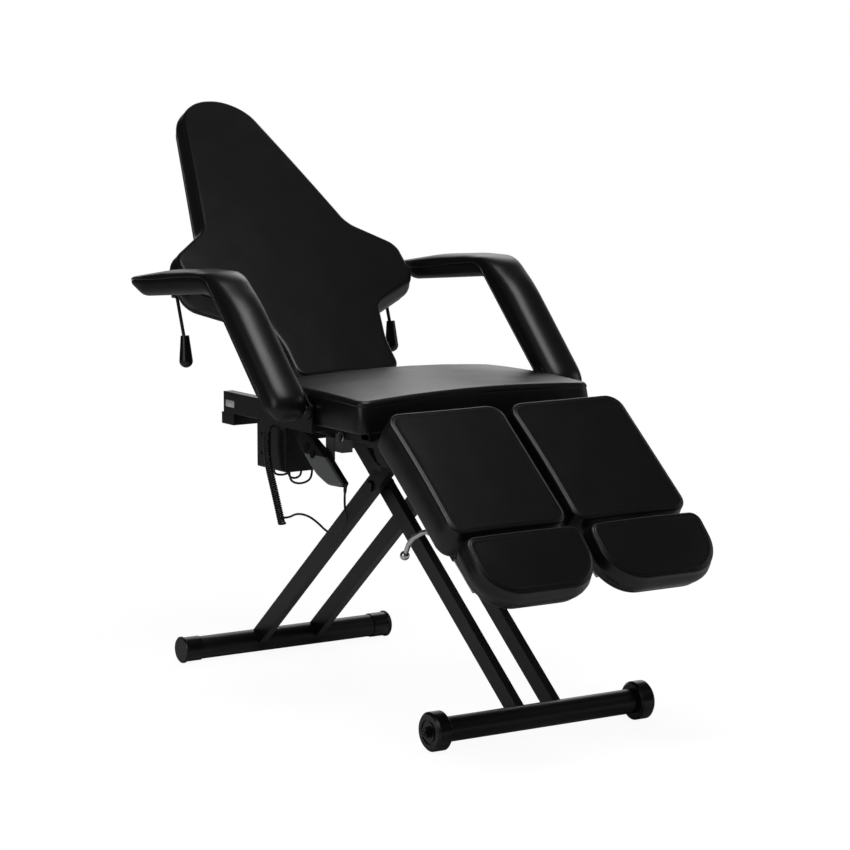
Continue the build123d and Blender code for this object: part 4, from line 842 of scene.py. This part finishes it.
def flat_plate(name, corners, rounds, gap, thickness, place):
    """A plate with rounded corners."""
    sheet = bmesh.new()
    points = rounded_outline(corners, rounds, gap)
    face = sheet.faces.new([sheet.verts.new((p.x, p.y, 0)) for p in points])
    raised = bmesh.ops.extrude_face_region(sheet, geom=[face])["geom"]
    upper = [vertex for vertex in raised if isinstance(vertex, bmesh.types.BMVert)]
    bmesh.ops.translate(sheet, verts=upper, vec=(0, 0, thickness))
    bmesh.ops.transform(sheet, matrix=place, verts=sheet.verts)
    return finish_piece(name, sheet)


def upright(x, y, z):
    """The frame of an upright plate: it runs along the chair and up, and is thick across the chair."""
    return Matrix(((0, 0, 1, x), (1, 0, 0, y), (0, 1, 0, z), (0, 0, 0, 1)))


foot_point = Vector(arm_top_line[0])
cover_runs = two_runs(arm_top_line + arm_seam_line, arm_top_rounds + arm_seam_rounds, arm_top_line[0],
                      arm_top_line[-1])
core_runs = two_runs(core_line, core_rounds, core_line[0], core_tip)
arm_ripple = cover_ripple(seed=60.0, face_height=0.0006, side_height=0.0008)
seam_way = Vector(arm_seam_line[-2]) - Vector(arm_seam_line[-1])
tang_turn = Matrix.Rotation(math.atan2(seam_way.y, seam_way.x), 4, "Z")
tang_corners = [(-tang_half, -tang_half), (tang_length, -tang_half), (tang_length, tang_half),
                (-tang_half, tang_half)]
tangs = []
for side, sign in (("left", -1), ("right", 1)):
    rings = arm_rings(cover_runs, dome, sign, arm_ripple)
    cover = finish_piece(f"arm_cover_{side}", skin(rings), merge=merge_gap)
    dress_cover(cover, f"{side}_armrest", f"arm_cushion_{side}")
    core = finish_piece(f"arm_shell_{side}", skin(arm_rings(core_runs, hull, sign, None)), merge=merge_gap)
    dress_cover(core, f"{side}_armrest", f"arm_core_{side}")
    seam_path = [ring[0] for ring in rings[1:]] + [ring[-1] for ring in reversed(rings[1:])]
    piping(f"arm_piping_{side}", seam_path, arm_piping_radius, f"{side}_armrest")
    tang_x = min(sign * arm_inner, sign * (arm_inner - tang_thickness))
    tang = flat_plate(f"arm_tang_{side}", tang_corners, [tang_half] * 4, point_gap, tang_thickness,
                      upright(tang_x, arm_pivot.x, arm_pivot.y) @ tang_turn)
    for face in tang.data.polygons:
        face.use_smooth = False
    tangs.append(tang)
    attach(tang, f"{side}_armrest")


# Frame and fittings: welded steel tube, powder coated in satin black, with bolts, chromed rods and levers,
# and moulded caps, rollers and grips. Powder lies in an even satin skin with a faint orange peel.
peel_mm = 0.9
worn_mm = 45
spark_mm = 0.45
turning_mm = 0.4
streak_mm = 5
# how many patches of another gloss a metre of each plastic and of the chrome has, from handling
moulded_touches, grey_touches, chrome_touches = 30, 40, 60

coat, place = new_material("satin_black_powder_coat")
peel = add_node(coat, "ShaderNodeTexNoise", Vector=place, Scale=1000 / peel_mm, Detail=3.0, Roughness=0.6)
peel_dent = add_node(coat, "ShaderNodeBump", Height=peel.outputs["Fac"], Strength=0.25, Distance=0.00015)
worn = add_node(coat, "ShaderNodeTexNoise", Vector=place, Scale=1000 / worn_mm, Detail=4.0)
coat_gloss = add_node(coat, "ShaderNodeMapRange", Value=worn.outputs["Fac"], To_Min=0.32, To_Max=0.4)
powder = add_node(coat, "ShaderNodeBsdfPrincipled", Base_Color=linear("#0d0d0e"),
                  Roughness=coat_gloss.outputs[0], IOR=1.5, Normal=peel_dent.outputs["Normal"])
add_node(coat, "ShaderNodeOutputMaterial", Surface=powder.outputs[0])

# moulded black plastic, with the fine spark-eroded texture of its mould
moulded, place = new_material("moulded_black_plastic")
spark = add_node(moulded, "ShaderNodeTexNoise", Vector=place, Scale=1000 / spark_mm, Detail=2.0)
spark_dent = add_node(moulded, "ShaderNodeBump", Height=spark.outputs["Fac"], Strength=0.2, Distance=0.0001)
touched = add_node(moulded, "ShaderNodeTexNoise", Vector=place, Scale=moulded_touches, Detail=2.0)
moulded_gloss = add_node(moulded, "ShaderNodeMapRange", Value=touched.outputs["Fac"], To_Min=0.24,
                         To_Max=0.32)
plastic = add_node(moulded, "ShaderNodeBsdfPrincipled", Base_Color=linear("#0c0c0d"),
                   Roughness=moulded_gloss.outputs[0], IOR=1.49, Normal=spark_dent.outputs["Normal"])
add_node(moulded, "ShaderNodeOutputMaterial", Surface=plastic.outputs[0])

# grey plastic of the handset's hook, from a mould of the same texture
grey, place = new_material("moulded_grey_plastic")
grey_spark = add_node(grey, "ShaderNodeTexNoise", Vector=place, Scale=1000 / spark_mm, Detail=2.0)
grey_dent = add_node(grey, "ShaderNodeBump", Height=grey_spark.outputs["Fac"], Strength=0.35, Distance=0.0001)
grey_hand = add_node(grey, "ShaderNodeTexNoise", Vector=place, Scale=grey_touches, Detail=2.0)
grey_gloss = add_node(grey, "ShaderNodeMapRange", Value=grey_hand.outputs["Fac"], To_Min=0.4, To_Max=0.52)
grey_skin = add_node(grey, "ShaderNodeBsdfPrincipled", Base_Color=linear("#6c6e70"),
                     Roughness=grey_gloss.outputs[0], IOR=1.49, Normal=grey_dent.outputs["Normal"])
add_node(grey, "ShaderNodeOutputMaterial", Surface=grey_skin.outputs[0])

# zinc-plated steel of the bolts and axles, with fine turning marks
zinc, place = new_material("zinc_plated_steel")
turning = add_node(zinc, "ShaderNodeTexNoise", Vector=place, Scale=1000 / turning_mm, Detail=2.0)
zinc_gloss = add_node(zinc, "ShaderNodeMapRange", Value=turning.outputs["Fac"], To_Min=0.22, To_Max=0.36)
zinc_dent = add_node(zinc, "ShaderNodeBump", Height=turning.outputs["Fac"], Strength=0.12, Distance=0.0001)
plated = add_node(zinc, "ShaderNodeBsdfPrincipled", Base_Color=linear("#b4b6b8"), Metallic=1.0,
                  Roughness=zinc_gloss.outputs[0], Normal=zinc_dent.outputs["Normal"])
add_node(zinc, "ShaderNodeOutputMaterial", Surface=plated.outputs[0])

# polished chrome of the foot rods, clamp levers and ring, with faint handling haze
chrome, place = new_material("polished_chrome")
haze = add_node(chrome, "ShaderNodeTexNoise", Vector=place, Scale=chrome_touches, Detail=3.0)
chrome_gloss = add_node(chrome, "ShaderNodeMapRange", Value=haze.outputs["Fac"], To_Min=0.06, To_Max=0.16)
mirror_plate = add_node(chrome, "ShaderNodeBsdfPrincipled", Base_Color=linear("#d6d8da"), Metallic=1.0,
                        Roughness=chrome_gloss.outputs[0])
add_node(chrome, "ShaderNodeOutputMaterial", Surface=mirror_plate.outputs[0])

# birch plywood of the boards: veneer with long grain and slightly darker streaks
plywood, place = new_material("birch_plywood")
long_grain = add_node(plywood, "ShaderNodeMapping", Vector=place, Scale=(1.0, 0.08, 0.08))
streaks = add_node(plywood, "ShaderNodeTexNoise", Vector=long_grain.outputs[0], Scale=1000 / streak_mm,
                   Detail=5.0)
veneer = add_node(plywood, "ShaderNodeMix", {"data_type": "RGBA"},
                  [(0, streaks.outputs["Fac"]), (6, linear("#84683f")), (7, linear("#a98a5d"))])
veneer_dent = add_node(plywood, "ShaderNodeBump", Height=streaks.outputs["Fac"], Strength=0.2,
                       Distance=0.0002)
wood = add_node(plywood, "ShaderNodeBsdfPrincipled", Base_Color=veneer.outputs[2], Roughness=0.62,
                Normal=veneer_dent.outputs["Normal"])
add_node(plywood, "ShaderNodeOutputMaterial", Surface=wood.outputs[0])

for tang in tangs:
    tang.data.materials.append(coat)


# Label on the left rail's rear end: a rectangle of white film with its corners rounded.
# It is stuck on by hand, and nothing is printed on it here.
label_low = (-0.1203, 0.494, 0.5935)
label_length = 0.040
label_height = 0.0165
label_thickness = 0.0003
label_corner = 0.002
label_point_gap = 0.001
film_waves = 200

label_corners = [(0, 0), (label_length, 0), (label_length, label_height), (0, label_height)]
label = flat_plate("rail_label", label_corners, [label_corner] * 4, label_point_gap, label_thickness,
                   upright(*label_low))

# satin polyester film: even, with faint waves from its paste, so many in a metre
white_film, place = new_material("white_label_film")
waves = add_node(white_film, "ShaderNodeTexNoise", Vector=place, Scale=film_waves, Detail=2.0)
film_gloss = add_node(white_film, "ShaderNodeMapRange", Value=waves.outputs["Fac"], To_Min=0.3, To_Max=0.4)
film_skin = add_node(white_film, "ShaderNodeBsdfPrincipled", Base_Color=linear("#f6f6f4"),
                     Roughness=film_gloss.outputs[0])
add_node(white_film, "ShaderNodeOutputMaterial", Surface=film_skin.outputs[0])
label.data.materials.append(white_film)
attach(label, "upper_frame")


# Front of the handset: one half of a shell moulded in grey plastic, which keeps the shape of its solid.
# A black film is stuck over its top end, round the two buttons.
film_height = 0.046
film_edge = 0.0004

film_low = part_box("handset_front")[1].z - film_height
front_skin, place = new_material("grey_plastic_with_black_film")
heights = add_node(front_skin, "ShaderNodeSeparateXYZ", Vector=place)
above = add_node(front_skin, "ShaderNodeMapRange", Value=heights.outputs["Z"], From_Min=film_low,
                 From_Max=film_low + film_edge)
front_shade = add_node(front_skin, "ShaderNodeMix", {"data_type": "RGBA"},
                       [(0, above.outputs["Result"]), (6, linear("#7c7e80")), (7, linear("#141415"))])
front_spark = add_node(front_skin, "ShaderNodeTexNoise", Vector=place, Scale=1000 / spark_mm, Detail=2.0)
front_dent = add_node(front_skin, "ShaderNodeBump", Height=front_spark.outputs["Fac"], Strength=0.3,
                      Distance=0.0001)
front_face = add_node(front_skin, "ShaderNodeBsdfPrincipled", Base_Color=front_shade.outputs[2],
                      Roughness=0.42, IOR=1.49, Normal=front_dent.outputs["Normal"])
add_node(front_skin, "ShaderNodeOutputMaterial", Surface=front_face.outputs[0])


# Finishes of the solids: the pieces of the frame and its fittings keep their shapes from the CAD.
# Each has the finish of its slot, but some bolts and axles are blackened and the ring is chromed.
finishes = {"black powder coat": coat, "black vinyl": vinyl, "black plastic": moulded, "bright steel": zinc,
            "chrome": chrome, "grey plastic": grey, "plywood": plywood, "black rubber": sheath}
own_finishes = {"handset_front": front_skin, "hook_ring": chrome, "crossing_bolts": coat,
                "control_box_screws": coat, "crosshead_axle": coat, "leg_hinge_rods": coat,
                "roller_bolts": coat, "leg_pawl_left": coat, "leg_pawl_right": coat}
for subpart in frame["record"]["subparts"]:
    node = frame["nodes"][subpart["node"]]
    node.data.materials.clear()
    node.data.materials.append(own_finishes.get(subpart["node"], finishes[subpart["material_slot"]]))
